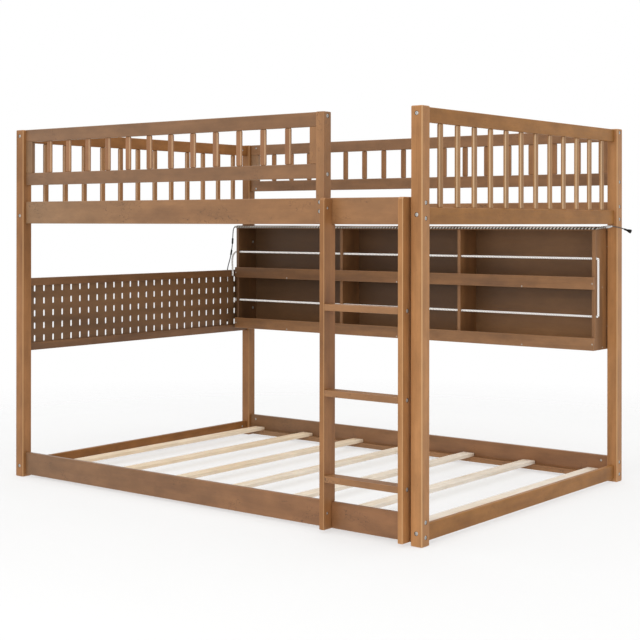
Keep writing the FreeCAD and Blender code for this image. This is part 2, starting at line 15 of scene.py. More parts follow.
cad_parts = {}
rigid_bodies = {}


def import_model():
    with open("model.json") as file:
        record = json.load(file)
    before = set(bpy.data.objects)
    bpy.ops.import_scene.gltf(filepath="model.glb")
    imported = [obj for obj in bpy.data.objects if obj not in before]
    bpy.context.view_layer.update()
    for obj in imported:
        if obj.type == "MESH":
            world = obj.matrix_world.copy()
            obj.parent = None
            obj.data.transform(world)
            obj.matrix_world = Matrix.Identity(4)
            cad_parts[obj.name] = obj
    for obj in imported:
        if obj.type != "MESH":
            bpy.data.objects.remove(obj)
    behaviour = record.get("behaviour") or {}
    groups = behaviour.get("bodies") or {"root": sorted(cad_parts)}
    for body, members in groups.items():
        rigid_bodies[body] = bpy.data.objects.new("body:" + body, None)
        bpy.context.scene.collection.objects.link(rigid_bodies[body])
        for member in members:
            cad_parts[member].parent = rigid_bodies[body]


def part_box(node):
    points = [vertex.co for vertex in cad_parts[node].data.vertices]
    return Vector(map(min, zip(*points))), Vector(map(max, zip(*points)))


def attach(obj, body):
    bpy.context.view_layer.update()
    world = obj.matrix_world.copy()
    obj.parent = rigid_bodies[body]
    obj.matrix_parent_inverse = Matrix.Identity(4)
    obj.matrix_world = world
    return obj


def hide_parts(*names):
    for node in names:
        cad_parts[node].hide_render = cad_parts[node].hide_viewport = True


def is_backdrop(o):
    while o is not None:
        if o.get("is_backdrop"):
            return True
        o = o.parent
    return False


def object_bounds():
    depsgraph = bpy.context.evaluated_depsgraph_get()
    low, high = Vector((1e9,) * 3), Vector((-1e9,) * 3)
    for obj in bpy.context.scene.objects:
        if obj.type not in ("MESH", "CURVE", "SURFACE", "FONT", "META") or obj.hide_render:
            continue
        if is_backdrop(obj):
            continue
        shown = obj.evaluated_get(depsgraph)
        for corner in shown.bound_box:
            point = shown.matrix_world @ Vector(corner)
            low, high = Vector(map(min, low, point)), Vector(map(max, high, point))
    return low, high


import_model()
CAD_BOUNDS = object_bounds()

LOG = logging.getLogger("bunk_bed")
ROOT = "root"
MM = 0.001
NO_LENGTH = 1e-7

# The angles below which neighbouring faces are shaded as one
BOARD_SMOOTH = math.radians(38)
FITTING_SMOOTH = math.radians(40)
FASTENER_SMOOTH = math.radians(35)
CORD_SMOOTH = math.radians(70)
# The angle above which an outline's edge is rounded
SHARP_CORNER = math.radians(35)
# A face is a rounded edge below the first, paled as partly worn stain and partly painted highlight; a face on
# a front right corner, where it leans beyond the second, takes a painted highlight
FLAT_FACE = 0.97
HIGHLIGHT_LEAN = 0.2

Point = tuple[float, float, float]
Tint = tuple[float, float, float]
Shade = tuple[int, int, int]
Ring = tuple[float, float]
Socket = bpy.types.NodeSocket
Shape = bmesh.types.BMesh

UNTINTED: Tint = (1.0, 1.0, 1.0)


class Grain(Enum):
    """The axis that a board's grain runs along."""

    X = 0
    Y = 1
    Z = 2


class Slot(StrEnum):
    """The material slots of the bed."""

    WOOD = "stained_wood"
    PANEL = "stained_panel"
    PINE = "bare_pine"
    STEEL = "zinc_steel"
    SHEATH = "lead_sheath"
    PLASTIC = "lead_plastic"
    TUBE = "light_tube"


# Node trees of materials


class Nodes:
    """A small builder of a node tree.

    Args:
        tree: the tree that it fills.
    """

    def __init__(self, tree: bpy.types.NodeTree) -> None:
        """Take up the tree."""
        self.tree = tree

    def link(self, start: Socket, end: Socket) -> None:
        """Join an output to an input."""
        self.tree.links.new(start, end)

    def feed(self, made: bpy.types.Node, **settings: object) -> bpy.types.Node:
        """Set a node's properties and inputs.

        Args:
            made: the node.
            settings: properties by name, and values or sockets by input name, with _ for a space.

        Returns:
            The same node.
        """
        for name, value in settings.items():
            entry = name.replace("_", " ")
            if isinstance(value, bpy.types.NodeSocket):
                self.link(value, made.inputs[entry])
            elif hasattr(made, name):
                setattr(made, name, value)
            else:
                made.inputs[entry].default_value = value
        return made

    def node(self, kind: str, **settings: object) -> bpy.types.Node:
        """Add a node of a kind, feed it its settings and return it."""
        return self.feed(self.tree.nodes.new(kind), **settings)

    def maths(self, operation: str, *values: Socket | float) -> Socket:
        """Add a maths node.

        Args:
            operation: its operation.
            values: a socket or a number for each input.

        Returns:
            The result's socket.
        """
        made = self.node("ShaderNodeMath", operation=operation)
        for value, entry in zip(values, made.inputs):
            if isinstance(value, bpy.types.NodeSocket):
                self.link(value, entry)
            else:
                entry.default_value = value
        return made.outputs["Value"]


class Shader(Nodes):
    """The node tree of one material, with its output and one principled surface.

    Args:
        name: the material's name.
    """

    def __init__(self, name: str) -> None:
        """Start the tree."""
        self.material = bpy.data.materials.new(name)
        self.material.use_nodes = True
        super().__init__(self.material.node_tree)
        self.tree.nodes.clear()
        self.surface = self.node("ShaderNodeBsdfPrincipled")
        self.node("ShaderNodeOutputMaterial", Surface=self.surface.outputs["BSDF"])
        self.place = self.node("ShaderNodeTexCoord").outputs["Object"]

    def noise(self, vector: Socket, scale: float, detail: float = 3.0, roughness: float = 0.55) -> Socket:
        """Add a noise texture on some coordinates and return its factor."""
        made = self.node("ShaderNodeTexNoise", Vector=vector, Scale=scale, Detail=detail, Roughness=roughness)
        return made.outputs["Fac"]

    def along(self, axis: str) -> Socket:
        """Return one of the coordinates, X, Y or Z."""
        return self.node("ShaderNodeSeparateXYZ", Vector=self.place).outputs[axis]

    def attribute(self, name: str) -> Socket:
        """Return a number that is kept on the mesh under a name."""
        return self.node("ShaderNodeAttribute", attribute_name=name).outputs["Fac"]

    def ramp(self, factor: Socket, stops: Sequence[tuple[float, Tint]]) -> Socket:
        """Add a colour ramp.

        Args:
            factor: the value that picks the colour.
            stops: pairs of a position and a colour.

        Returns:
            The colour's socket.
        """
        made = self.node("ShaderNodeValToRGB", Fac=factor)
        elements = made.color_ramp.elements
        while len(elements) < len(stops):
            elements.new(0.5)
        for element, (position, colour) in zip(elements, stops):
            element.position = position
            element.color = (*colour, 1.0)
        return made.outputs["Color"]

    def span(self, value: Socket, low: float, high: float, to_low: float = 0.0, to_high: float = 1.0
             ) -> Socket:
        """Map a value's range onto another, clamped.

        Args:
            value: the value's socket.
            low: the range's start.
            high: the range's end.
            to_low: what the start becomes.
            to_high: what the end becomes.

        Returns:
            The result's socket.
        """
        made = self.node("ShaderNodeMapRange", Value=value, From_Min=low, From_Max=high, To_Min=to_low,
                         To_Max=to_high)
        return made.outputs["Result"]

    def mix(self, factor: Socket | float, a: Socket | Tint, b: Socket | Tint, blend: str = "MIX") -> Socket:
        """Mix two colours.

        Args:
            factor: a socket or a number.
            a: the first colour or its socket.
            b: the second colour or its socket.
            blend: the blend type.

        Returns:
            The colour's socket.
        """
        made = self.node("ShaderNodeMix", data_type="RGBA", blend_type=blend)
        for index, value in ((0, factor), (6, a), (7, b)):
            if isinstance(value, bpy.types.NodeSocket):
                self.link(value, made.inputs[index])
            elif index == 0:
                made.inputs[index].default_value = value
            else:
                made.inputs[index].default_value = (*value, 1.0)
        return made.outputs[2]

    def scaled(self, colour: Socket, factor: Socket) -> Socket:
        """Make a colour darker or paler.

        Args:
            colour: the colour's socket.
            factor: what it is multiplied by.

        Returns:
            The result's socket.
        """
        made = self.node("ShaderNodeVectorMath", operation="SCALE", Scale=factor)
        self.link(colour, made.inputs[0])
        return made.outputs["Vector"]

    def shine(self, value: Socket, finish: "Finish", half: float = 0.2) -> None:
        """Let the surface's roughness waver with a value that wavers about 0.5, by half to each side."""
        least, most = finish.roughness - finish.smoother, finish.roughness + finish.rougher
        self.feed(self.surface, Roughness=self.span(value, 0.5 - half, 0.5 + half, least, most))

    def bump(self, height: Socket, strength: float, distance: float) -> None:
        """Drive the surface's normal by a height, as deep as the distance in metres."""
        made = self.node("ShaderNodeBump", Height=height, Strength=strength, Distance=distance)
        self.feed(self.surface, Normal=made.outputs["Normal"])


def linear(red: int, green: int, blue: int) -> Tint:
    """Turn a display colour into scene values.

    Args:
        red: from 0 to 255.
        green: from 0 to 255.
        blue: from 0 to 255.

    Returns:
        The three scene values.
    """
    shares = (red / 255, green / 255, blue / 255)
    return tuple(c / 12.92 if c <= 0.04045 else ((c + 0.055) / 1.055) ** 2.4 for c in shares)


# Finishes, their shades in display colours


@dataclass(frozen=True)
class Drift:
    """A slow change of tone along an axis, before a place along Y only where that is set: painted shade on
    some finishes, a change of hue on others.
    """

    axis: str
    start: float
    end: float
    stops: tuple[tuple[float, Tint], ...]
    before_y: float | None = None
    blur: float = 0.5 * MM

    def over(self, shader: Shader, colour: Socket) -> Socket:
        """Tint a colour by this drift.

        Args:
            shader: the material's shader.
            colour: the colour's socket.

        Returns:
            The tinted colour's socket.
        """
        tint = shader.ramp(shader.span(shader.along(self.axis), self.start, self.end), self.stops)
        if self.before_y is not None:
            past = shader.span(shader.along("Y"), self.before_y - self.blur, self.before_y + self.blur)
            tint = shader.mix(past, tint, UNTINTED)
        return shader.mix(1.0, colour, tint, "MULTIPLY")


@dataclass(frozen=True)
class Layer:
    """One layer of a wood's figure: its scales along and across the grain, and the range that shows."""

    along: float
    across: float
    low: float
    high: float
    scale: float = 1.5
    detail: float = 3.0
    roughness: float = 0.6


BANDS = Layer(1.3, 11.0, 0.32, 0.70, roughness=0.55)
LINES = Layer(5.0, 150.0, 0.34, 0.66, scale=1.3)
MOTTLE = Layer(7.0, 13.0, 0.32, 0.68, scale=1.4, detail=4.0)
PORES = Layer(30.0, 330.0, 0.66, 0.78, detail=2.0)
SQUIGGLES = Layer(20.0, 34.0, 0.494, 0.506, scale=1.0, detail=2.0, roughness=0.7)
PATCHES = Layer(6.0, 9.0, 0.54, 0.62, scale=1.0, detail=2.0, roughness=0.55)
KNOTS = Layer(2.2, 9.0, 0.05, 0.12, scale=1.0)


@dataclass(frozen=True)
class WoodFinish:
    """A wood finish whose grain runs along a chosen axis."""

    name: str
    pale: Shade
    middle: Shade
    dark: Shade
    pore: Shade
    roughness: float = 0.42
    smoother: float = 0.05
    rougher: float = 0.07
    grain_scale: float = 1.0
    pore_share: float = 0.5
    mottle_share: float = 0.5
    # How far rounded edges pale: partly worn stain, partly painted highlight
    edge_wear_and_highlight: float = 0.45
    line_share: float = 0.18
    squiggles: float = 0.0
    knots: bool = False
    knot_share: float = 0.55
    specular: float = 0.5
    # The colour and share of a painted highlight on front right corners
    corner: Shade | None = None
    corner_highlight_share: float = 0.85
    drifts: tuple[Drift, ...] = ()
    grain_spread: float = 20.0
    mottle_darker: float = 0.20
    mottle_paler: float = 0.14
    relief: float = 0.22
    relief_depth: float = 0.6 * MM

    def material(self, piece: str, grain: Grain) -> bpy.types.Material:
        """Make this finish for one piece, with grain of its own.

        Args:
            piece: the piece's name, which also sets where its grain starts.
            grain: the axis that the grain runs along.

        Returns:
            The material.
        """
        draw = random.Random(piece)
        shader = Shader(f"{self.name}_{piece}")
        shift = tuple(draw.uniform(-self.grain_spread, self.grain_spread) for _ in range(3))
        shades = (self.pale, self.middle, self.dark, self.pore)
        pale, middle, dark, pore = (linear(*shade) for shade in shades)

        def drawn_out(along: float, across: float) -> Socket:
            """Draw the coordinates out along the grain.

            Args:
                along: the scale along the grain.
                across: the scale across it.

            Returns:
                The coordinates' socket.
            """
            scale = [across] * 3
            scale[grain.value] = along
            return shader.node("ShaderNodeMapping", Location=shift, Scale=scale,
                               Vector=shader.place).outputs["Vector"]

        def noise(layer: Layer, along: float = 1.0, across: float = 1.0) -> Socket:
            """Return the noise of one layer, its scales along and across multiplied by two factors."""
            return shader.noise(drawn_out(layer.along * along, layer.across * across), layer.scale,
                                layer.detail, layer.roughness)

        bands = noise(BANDS, self.grain_scale, self.grain_scale)
        lines = noise(LINES, across=self.grain_scale)
        colour = shader.ramp(bands, ((BANDS.low, dark), (0.5, middle), (BANDS.high, pale)))
        streaks = shader.ramp(shader.span(lines, LINES.low, LINES.high), ((0.0, dark), (1.0, pale)))
        colour = shader.mix(self.line_share, colour, streaks)
        darkest = 1.0 - self.mottle_darker * self.mottle_share
        palest = 1.0 + self.mottle_paler * self.mottle_share
        cloud = shader.span(noise(MOTTLE), MOTTLE.low, MOTTLE.high, darkest, palest)
        fleck = shader.span(noise(PORES), PORES.low, PORES.high, 0.0, self.pore_share)
        colour = shader.mix(fleck, shader.scaled(colour, cloud), pore)
        if self.squiggles > 0:
            half = (SQUIGGLES.high - SQUIGGLES.low) / 2
            thin = shader.maths("COMPARE", noise(SQUIGGLES), 0.5, half)
            patch = shader.span(noise(PATCHES), PATCHES.low, PATCHES.high, 0.0, self.squiggles)
            colour = shader.mix(shader.maths("MULTIPLY", thin, patch), colour, pore)
        if self.knots:
            rings = shader.node("ShaderNodeTexVoronoi", feature="F1", Scale=KNOTS.scale,
                                Vector=drawn_out(KNOTS.along, KNOTS.across))
            knot = shader.span(rings.outputs["Distance"], KNOTS.low, KNOTS.high, self.knot_share, 0.0)
            colour = shader.mix(knot, colour, pore)
        # Rounded edges pale: partly worn stain, partly painted highlight
        worn = shader.maths("MULTIPLY", shader.attribute("edge"), self.edge_wear_and_highlight)
        colour = shader.mix(worn, colour, pale)
        # A painted highlight on faces turned to the front right
        if self.corner:
            painted_corner_highlight = shader.maths("MULTIPLY", shader.attribute("corner"), self.corner_highlight_share)
            colour = shader.mix(painted_corner_highlight, colour, linear(*self.corner))
        # Drifts: painted shade on the left posts, the end pieces, the lower rails and the shelf; a change of
        # hue on the other rails and the slats
        for drift in self.drifts:
            colour = drift.over(shader, colour)
        shader.feed(shader.surface, Base_Color=colour, Specular_IOR_Level=self.specular)
        shader.shine(lines, self)
        shader.bump(lines, self.relief, self.relief_depth)
        return shader.material


# Posts, with a painted highlight on their front right corners
POST_STAIN = WoodFinish(
    "post_stain", (193, 139, 89), (177, 125, 77), (157, 108, 64), (88, 59, 37), mottle_share=0.7,
    specular=0.3, corner=(222, 182, 134), corner_highlight_share=0.4)
# Painted shade: a darker copy of the post stain for the left posts and the left stile, darker still towards
# the rear, with a dimmer painted highlight
SHADED_POST_STAIN = WoodFinish(
    "deep_post_stain", (171, 120, 76), (155, 107, 64), (136, 92, 54), (82, 55, 34), mottle_share=0.7,
    specular=0.3, corner=(206, 162, 114), corner_highlight_share=0.4,
    drifts=(Drift("Y", -0.6, 0.6, ((0.0, UNTINTED), (1.0, (0.80, 0.78, 0.72)))),))
# End pickets: a painted highlight on their front right corners, and painted shade that darkens the left end's
# pickets
PICKET_STAIN = WoodFinish(
    "picket_stain", (178, 130, 80), (164, 118, 70), (146, 102, 58), (88, 59, 37), mottle_share=0.7,
    specular=0.4, corner=(236, 204, 164), corner_highlight_share=0.55,
    drifts=(Drift("X", -0.3, 0.3, ((0.0, (0.82, 0.78, 0.80)), (1.0, UNTINTED))),))
# Painted shade: a darker copy of the picket stain for the front guard's pickets, with a weaker painted
# highlight
SHADED_FRONT_PICKET_STAIN = replace(
    PICKET_STAIN, name="front_picket_stain", pale=(168, 119, 80), middle=(155, 108, 71), dark=(138, 95, 61),
    corner_highlight_share=0.34, drifts=())
# Painted shade: a darker copy of the picket stain for the rear guard's pickets, without the painted highlight
SHADED_REAR_PICKET_STAIN = replace(
    PICKET_STAIN, name="rear_picket_stain", pale=(158, 112, 72), middle=(146, 102, 62), dark=(130, 89, 52),
    corner=None, drifts=())
RAIL_STAIN = WoodFinish(
    "rail_stain", (161, 117, 82), (150, 108, 74), (137, 97, 66), (76, 52, 35), mottle_share=0.8,
    squiggles=0.8,
    drifts=(Drift("X", -0.95, 0.45, ((0.0, (0.90, 1.0, 1.0)), (0.5, (1.0, 1.0, 0.88)),
                                     (1.0, (1.0, 0.95, 0.76)))),))
GUARD_STAIN = WoodFinish(
    "guard_stain", (144, 106, 74), (134, 98, 67), (122, 88, 59), (76, 52, 35), mottle_share=0.8,
    squiggles=0.5, drifts=(Drift("X", -0.95, 0.45, ((0.0, UNTINTED), (1.0, (0.98, 0.91, 0.78)))),))
SHELF_LOW_STAIN = WoodFinish(
    "shelf_low_stain", (158, 114, 74), (143, 101, 62), (120, 84, 52), (66, 46, 32), mottle_share=0.8,
    edge_wear_and_highlight=0.5)
# The shelf stain with painted shade, darker towards the left
SHELF_STAIN = replace(
    SHELF_LOW_STAIN, name="shelf_stain", edge_wear_and_highlight=0.35,
    drifts=(Drift("X", -0.96, 0.6, ((0.0, (0.50, 0.48, 0.45)), (0.32, (0.76, 0.73, 0.70)),
                                    (1.0, (1.0, 0.97, 0.92)))),))
PANEL_STAIN = WoodFinish(
    "panel_stain", (124, 89, 56), (112, 79, 48), (95, 66, 39), (60, 43, 30), roughness=0.55,
    grain_scale=0.7)
# Painted shade: a darker copy of the rail stain for the lower rails, darker and cooler still towards the left
SHADED_LOW_RAIL_STAIN = WoodFinish(
    "low_rail_stain", (155, 107, 68), (143, 98, 60), (131, 88, 54), (80, 54, 36), mottle_share=0.8,
    squiggles=0.7, drifts=(Drift("X", -0.95, 0.75, ((0.0, (0.74, 0.83, 0.92)), (1.0, UNTINTED))),))
# End rails; the drift is painted shade that darkens the left end
END_STAIN = WoodFinish(
    "end_stain", (170, 119, 64), (158, 109, 57), (146, 98, 50), (82, 57, 36), mottle_share=0.9,
    squiggles=0.3, specular=0.2,
    drifts=(Drift("X", -0.3, 0.3, ((0.0, (0.80, 0.76, 0.84)), (1.0, (1.0, 0.99, 1.0)))),))
PEG_RAIL_STAIN = WoodFinish(
    "peg_rail_stain", (132, 92, 58), (120, 83, 50), (103, 70, 42), (64, 45, 30), mottle_share=0.8,
    edge_wear_and_highlight=0.5)
# Painted shade on the back's inner face only: darker to the left, darkest just under the middle board, and
# paler up the upper bay
BACK_MIDDLE_Y = 0.7355
BACK_STAIN = WoodFinish(
    "back_stain", (158, 115, 74), (150, 108, 68), (138, 98, 60), (70, 50, 34), roughness=0.5,
    grain_scale=0.7,
    drifts=(Drift("X", -0.96, 0.96, ((0.0, (0.56, 0.56, 0.56)), (0.45, (0.53, 0.51, 0.49)),
                                     (0.64, (0.66, 0.64, 0.60)), (0.80, (1.0, 0.98, 0.92))), BACK_MIDDLE_Y),
            Drift("Z", 0.55, 1.02, ((0.10, UNTINTED), (0.48, (0.52, 0.52, 0.52)), (0.53, (0.64, 0.64, 0.65)),
                                    (1.0, (0.80, 0.80, 0.80))), BACK_MIDDLE_Y)))
PINE = WoodFinish(
    "pine", (251, 244, 234), (247, 237, 222), (231, 210, 180), (172, 130, 90), roughness=0.65,
    pore_share=0.2, mottle_share=0.4, edge_wear_and_highlight=0.2, line_share=0.4, knots=True,
    drifts=(Drift("X", -0.95, 0.95, ((0.0, (0.98, 0.90, 0.79)), (0.30, (0.98, 0.87, 0.71)),
                                     (0.42, (0.99, 0.96, 0.90)), (1.0, UNTINTED))),))


@dataclass(frozen=True)
class PlainFinish:
    """A moulded, drawn or plated finish with a fine uneven surface."""

    name: str
    colour: Shade
    shade: Shade
    roughness: float
    smoother: float = 0.04
    rougher: float = 0.06
    metallic: float = 0.0
    scale: float = 900.0
    specular: float = 0.5
    relief: float = 0.15
    relief_depth: float = 0.2 * MM

    def material(self, piece: str) -> bpy.types.Material:
        """Make this finish for one piece.

        Args:
            piece: the piece's name.

        Returns:
            The material.
        """
        shader = Shader(f"{self.name}_{piece}")
        cloud = shader.noise(shader.place, self.scale, 2.0)
        worn = shader.noise(shader.place, self.scale / 3, 2.0)
        colour = shader.mix(cloud, linear(*self.colour), linear(*self.shade))
        shader.feed(shader.surface, Base_Color=colour, Metallic=self.metallic,
                    Specular_IOR_Level=self.specular)
        shader.shine(worn, self, 0.15)
        shader.bump(cloud, self.relief, self.relief_depth)
        return shader.material


@dataclass(frozen=True)
class StrandFinish:
    """A wound cord's finish, read from the strand value on its points.

    A ridged cord is pale with painted shade in its grooves, and another one is a pale and a dark strand. A
    cord's left end is darkened with painted shade, and past it a painted glow brightens the cord.
    """

    pale: Shade
    wound: Shade
    worn: Shade
    mask_low: float
    mask_high: float
    ridged: bool = False
    # A painted glow that brightens the cord
    painted_glow: float = 0.0
    roughness: float = 0.5
    smoother: float = 0.06
    rougher: float = 0.1
    # Painted shade that darkens the cord's left end, full up to the first place along X and gone at the
    # second
    tail_shade: float = 0.85
    tail_shade_until: float = -0.965
    tail_shade_gone_at: float = -0.958
    scale: float = 700.0
    worn_share: float = 0.12
    relief: float = 0.2
    relief_depth: float = 0.2 * MM

    def material(self, piece: str) -> bpy.types.Material:
        """Make this finish for one cord.

        Args:
            piece: the piece's name.

        Returns:
            The material.
        """
        shader = Shader(f"strands_{piece}")
        strand = shader.attribute("strand")
        if self.ridged:
            strand = shader.maths("PINGPONG", strand, 0.5)
        mask = shader.span(strand, self.mask_low, self.mask_high)
        colour = shader.mix(mask, linear(*self.pale), linear(*self.wound))
        cloud = shader.noise(shader.place, self.scale, 2.0)
        colour = shader.mix(shader.span(cloud, 0.3, 0.7, 0.0, self.worn_share), colour, linear(*self.worn))
        along = shader.along("X")
        # Painted shade darkens the left end, and the painted glow brightens the rest
        tone = shader.span(along, self.tail_shade_until, self.tail_shade_gone_at, self.tail_shade, 1.0)
        painted_glow = shader.span(along, self.tail_shade_until, self.tail_shade_gone_at, 0.0, self.painted_glow)
        shader.feed(shader.surface, Base_Color=shader.scaled(colour, tone), Emission_Color=colour,
                    Emission_Strength=painted_glow)
        shader.shine(cloud, self)
        shader.bump(cloud, self.relief, self.relief_depth)
        return shader.material


Finish = WoodFinish | PlainFinish | StrandFinish
# The rope light: pale, with painted shade in its grooves and a faint painted glow
ROPE = StrandFinish((255, 254, 251), (78, 68, 58), (78, 68, 58), 0.16, 0.46, ridged=True, painted_glow=0.28)
STRING = StrandFinish((212, 207, 198), (26, 22, 19), (110, 102, 92), 0.40, 0.52)
ZINC = PlainFinish("zinc", (206, 204, 200), (172, 170, 166), 0.38, metallic=0.6)
SHEATH = PlainFinish("lead_sheath", (104, 96, 90), (82, 75, 70), 0.48)
BLACK = PlainFinish("black_moulding", (16, 16, 16), (9, 9, 9), 0.5, specular=0.2)
WHITE_CAP = PlainFinish("white_cap", (232, 232, 230), (216, 216, 214), 0.45)
# Painted shade on the walls of drilled holes
BORE_SHADE = PlainFinish("bored_wood", (74, 50, 34), (48, 33, 24), 0.8, scale=300.0)
SCREW = PlainFinish("screw_steel", (206, 200, 190), (170, 164, 154), 0.42, metallic=0.5)


# Shapes and meshes


def placed(name: str, data: bpy.types.ID) -> bpy.types.Object:
    """Put data in the scene as an object at the origin.

    Args:
        name: the object's name.
        data: its mesh, curve, camera or light.

    Returns:
        The new object.
    """
    made = bpy.data.objects.new(name, data)
    bpy.context.scene.collection.objects.link(made)
    return made


def baked(piece: bpy.types.Object) -> bpy.types.Mesh:
    """Return the plain mesh that a piece's modifiers or curve make."""
    return bpy.data.meshes.new_from_object(piece.evaluated_get(bpy.context.evaluated_depsgraph_get()))


def mesh_object(name: str, mesh: bpy.types.Mesh, material: bpy.types.Material) -> bpy.types.Object:
    """Put a mesh in the scene under its name.

    Args:
        name: the piece's name.
        mesh: its mesh, in metres in the row frame.
        material: its material.

    Returns:
        The new object, at the origin.
    """
    mesh.name = name
    mesh.materials.clear()
    mesh.materials.append(material)
    return placed(name, mesh)


def to_mesh(name: str, shape: Shape, smooth_angle: float | None = None) -> bpy.types.Mesh:
    """Turn a bmesh into a mesh with outward faces, its rounded edges marked for worn stain and painted
    highlight, and its front right corners for a painted highlight.

    Args:
        name: the mesh's name.
        shape: the bmesh, which is freed.
        smooth_angle: faces that meet at less than this are shaded smooth, in radians.

    Returns:
        The mesh.
    """
    bmesh.ops.recalc_face_normals(shape, faces=shape.faces)
    if smooth_angle is not None:
        for face in shape.faces:
            face.smooth = True
        for edge in shape.edges:
            edge.smooth = len(edge.link_faces) == 2 and edge.calc_face_angle(0.0) < smooth_angle
    mesh = bpy.data.meshes.new(name)
    shape.to_mesh(mesh)
    shape.free()
    normals = [face.normal for face in mesh.polygons]
    # The edge mark pales rounded faces as partly worn stain, partly painted highlight; the corner mark puts a
    # painted highlight on faces turned to the front right
    marks = {"edge": [float(max(abs(c) for c in normal) < FLAT_FACE) for normal in normals],
             "corner": [float(normal.x > HIGHLIGHT_LEAN and normal.y < -HIGHLIGHT_LEAN) for normal in normals]}
    for title, values in marks.items():
        mesh.attributes.new(title, "FLOAT", "FACE").data.foreach_set("value", values)
    return mesh


def eased_box(low: Sequence[float], high: Sequence[float], ease: float, steps: int = 2) -> Shape:
    """A board between two corners, its edges rounded.

    Args:
        low: the lowest corner.
        high: the highest corner.
        ease: the radius of the edges.
        steps: the faces across each rounded edge.

    Returns:
        The board as a bmesh.
    """
    shape = bmesh.new()
    bmesh.ops.create_cube(shape, size=1.0)
    low, high = Vector(low), Vector(high)
    place = Matrix.Translation((low + high) / 2) @ Matrix.Diagonal((*(high - low), 1.0))
    bmesh.ops.transform(shape, matrix=place, verts=shape.verts)
    bmesh.ops.bevel(shape, geom=shape.edges[:], offset=ease, segments=steps, profile=0.5, affect="EDGES")
    return shape


def eased_profile(outline: Sequence[tuple[float, float]], x0: float, x1: float, ease: float) -> Shape:
    """A board cut to an outline in Y and Z, its edges rounded.

    Args:
        outline: the outline's corners as pairs of Y and Z.
        x0: where the board starts.
        x1: where it ends.
        ease: the radius of the edges.

    Returns:
        The board as a bmesh.
    """
    shape = bmesh.new()
    face = shape.faces.new([shape.verts.new((x0, y, z)) for y, z in outline])
    pulled = bmesh.ops.extrude_face_region(shape, geom=[face])["geom"]
    moved = [part for part in pulled if isinstance(part, bmesh.types.BMVert)]
    bmesh.ops.translate(shape, vec=(x1 - x0, 0, 0), verts=moved)
    bmesh.ops.recalc_face_normals(shape, faces=shape.faces)
    sharp = [edge for edge in shape.edges if edge.calc_face_angle(0.0) > SHARP_CORNER]
    bmesh.ops.bevel(shape, geom=sharp, offset=ease, segments=2, profile=0.5, affect="EDGES")
    return shape


def angles(count: int) -> list[float]:
    """Share a full turn out evenly among a number of angles, in radians from 0."""
    return [2 * math.pi * index / count for index in range(count)]


def skinned(shape: Shape, rows: Sequence[Sequence[bmesh.types.BMVert]]) -> Shape:
    """Close rings of points into one solid.

    Args:
        shape: the bmesh that holds the points.
        rows: the rings, one after another, with the same number of points.

    Returns:
        The same bmesh.
    """
    for lower, upper in zip(rows, rows[1:]):
        for corners in zip(lower, (*lower[1:], lower[0]), (*upper[1:], upper[0]), upper):
            shape.faces.new(corners)
    shape.faces.new(list(reversed(rows[0])))
    shape.faces.new(rows[-1])
    return shape


def turned(start: Sequence[float], direction: Sequence[float], rings: Sequence[Ring], sides: int = 24
           ) -> Shape:
    """A closed solid of revolution.

    Args:
        start: the point that distances are measured from.
        direction: its axis.
        rings: pairs of a distance along the axis and a radius there.
        sides: the faces round it.

    Returns:
        The solid as a bmesh.
    """
    shape = bmesh.new()
    axis = Vector(direction).normalized()
    place = Matrix.Translation(Vector(start)) @ axis.to_track_quat("Z", "Y").to_matrix().to_4x4()
    rows = [[shape.verts.new(place @ Vector((radius * math.cos(angle), radius * math.sin(angle), distance)))
             for angle in angles(sides)] for distance, radius in rings]
    return skinned(shape, rows)


def joined(shapes: Iterable[Shape]) -> Shape:
    """Gather several bmeshes in one.

    Args:
        shapes: the bmeshes, which are freed.

    Returns:
        One bmesh that holds them all.
    """
    whole = bmesh.new()
    for shape in shapes:
        held = bpy.data.meshes.new("held")
        shape.to_mesh(held)
        shape.free()
        whole.from_mesh(held)
        bpy.data.meshes.remove(held)
    return whole


def moulded(name: str, shape: Shape, finish: PlainFinish) -> bpy.types.Object:
    """Turn a fitting's shape into a named piece in its finish."""
    return mesh_object(name, to_mesh(name, shape, FITTING_SMOOTH), finish.material(name))


@dataclass(frozen=True)
class Drilling:
    """A round sunk hole with its mouth on a face, and the narrower bore behind it."""

    mouth: Point
    along: Point
    diameter: float
    depth: float
    bore: float = 0.0
    reach: float = 0.0
    overrun: float = 2 * MM
    sides: int = 20

    def cutter(self) -> Shape:
        """Build the solid that cuts this hole.

        Returns:
            The solid as a bmesh.
        """
        wide, narrow = self.diameter / 2, self.bore / 2
        rings = [(-self.overrun, wide), (self.depth, wide)]
        if narrow > 0:
            rings += [(self.depth, narrow), (self.reach, narrow)]
        return turned(self.mouth, self.along, rings, self.sides)


def level(target: bpy.types.Object) -> None:
    """Shade a piece's large faces flat and only its rounded edges round, and take in its modifiers.

    Args:
        target: the piece.
    """
    shade = target.modifiers.new("level", "WEIGHTED_NORMAL")
    shade.weight = 95
    shade.keep_sharp = True
    result = baked(target)
    target.modifiers.clear()
    old = target.data
    name = old.name
    target.data = result
    bpy.data.meshes.remove(old)
    result.name = name


def cut(target: bpy.types.Object, drillings: Sequence[Drilling]) -> None:
    """Cut round holes in a piece, their walls painted dark as shade, and level its shading.

    Args:
        target: the piece.
        drillings: its holes.
    """
    if not drillings:
        level(target)
        return
    # The holes' walls take painted shade
    cutter_mesh = to_mesh("cutter", joined(drilling.cutter() for drilling in drillings))
    cutter = mesh_object("cutter", cutter_mesh, BORE_SHADE.material("bore"))
    change = target.modifiers.new("drill", "BOOLEAN")
    change.operation = "DIFFERENCE"
    change.solver = "EXACT"
    change.material_mode = "TRANSFER"
    change.object = cutter
    level(target)
    bpy.data.objects.remove(cutter)
    bpy.data.meshes.remove(cutter_mesh)


# Geometry Nodes trees


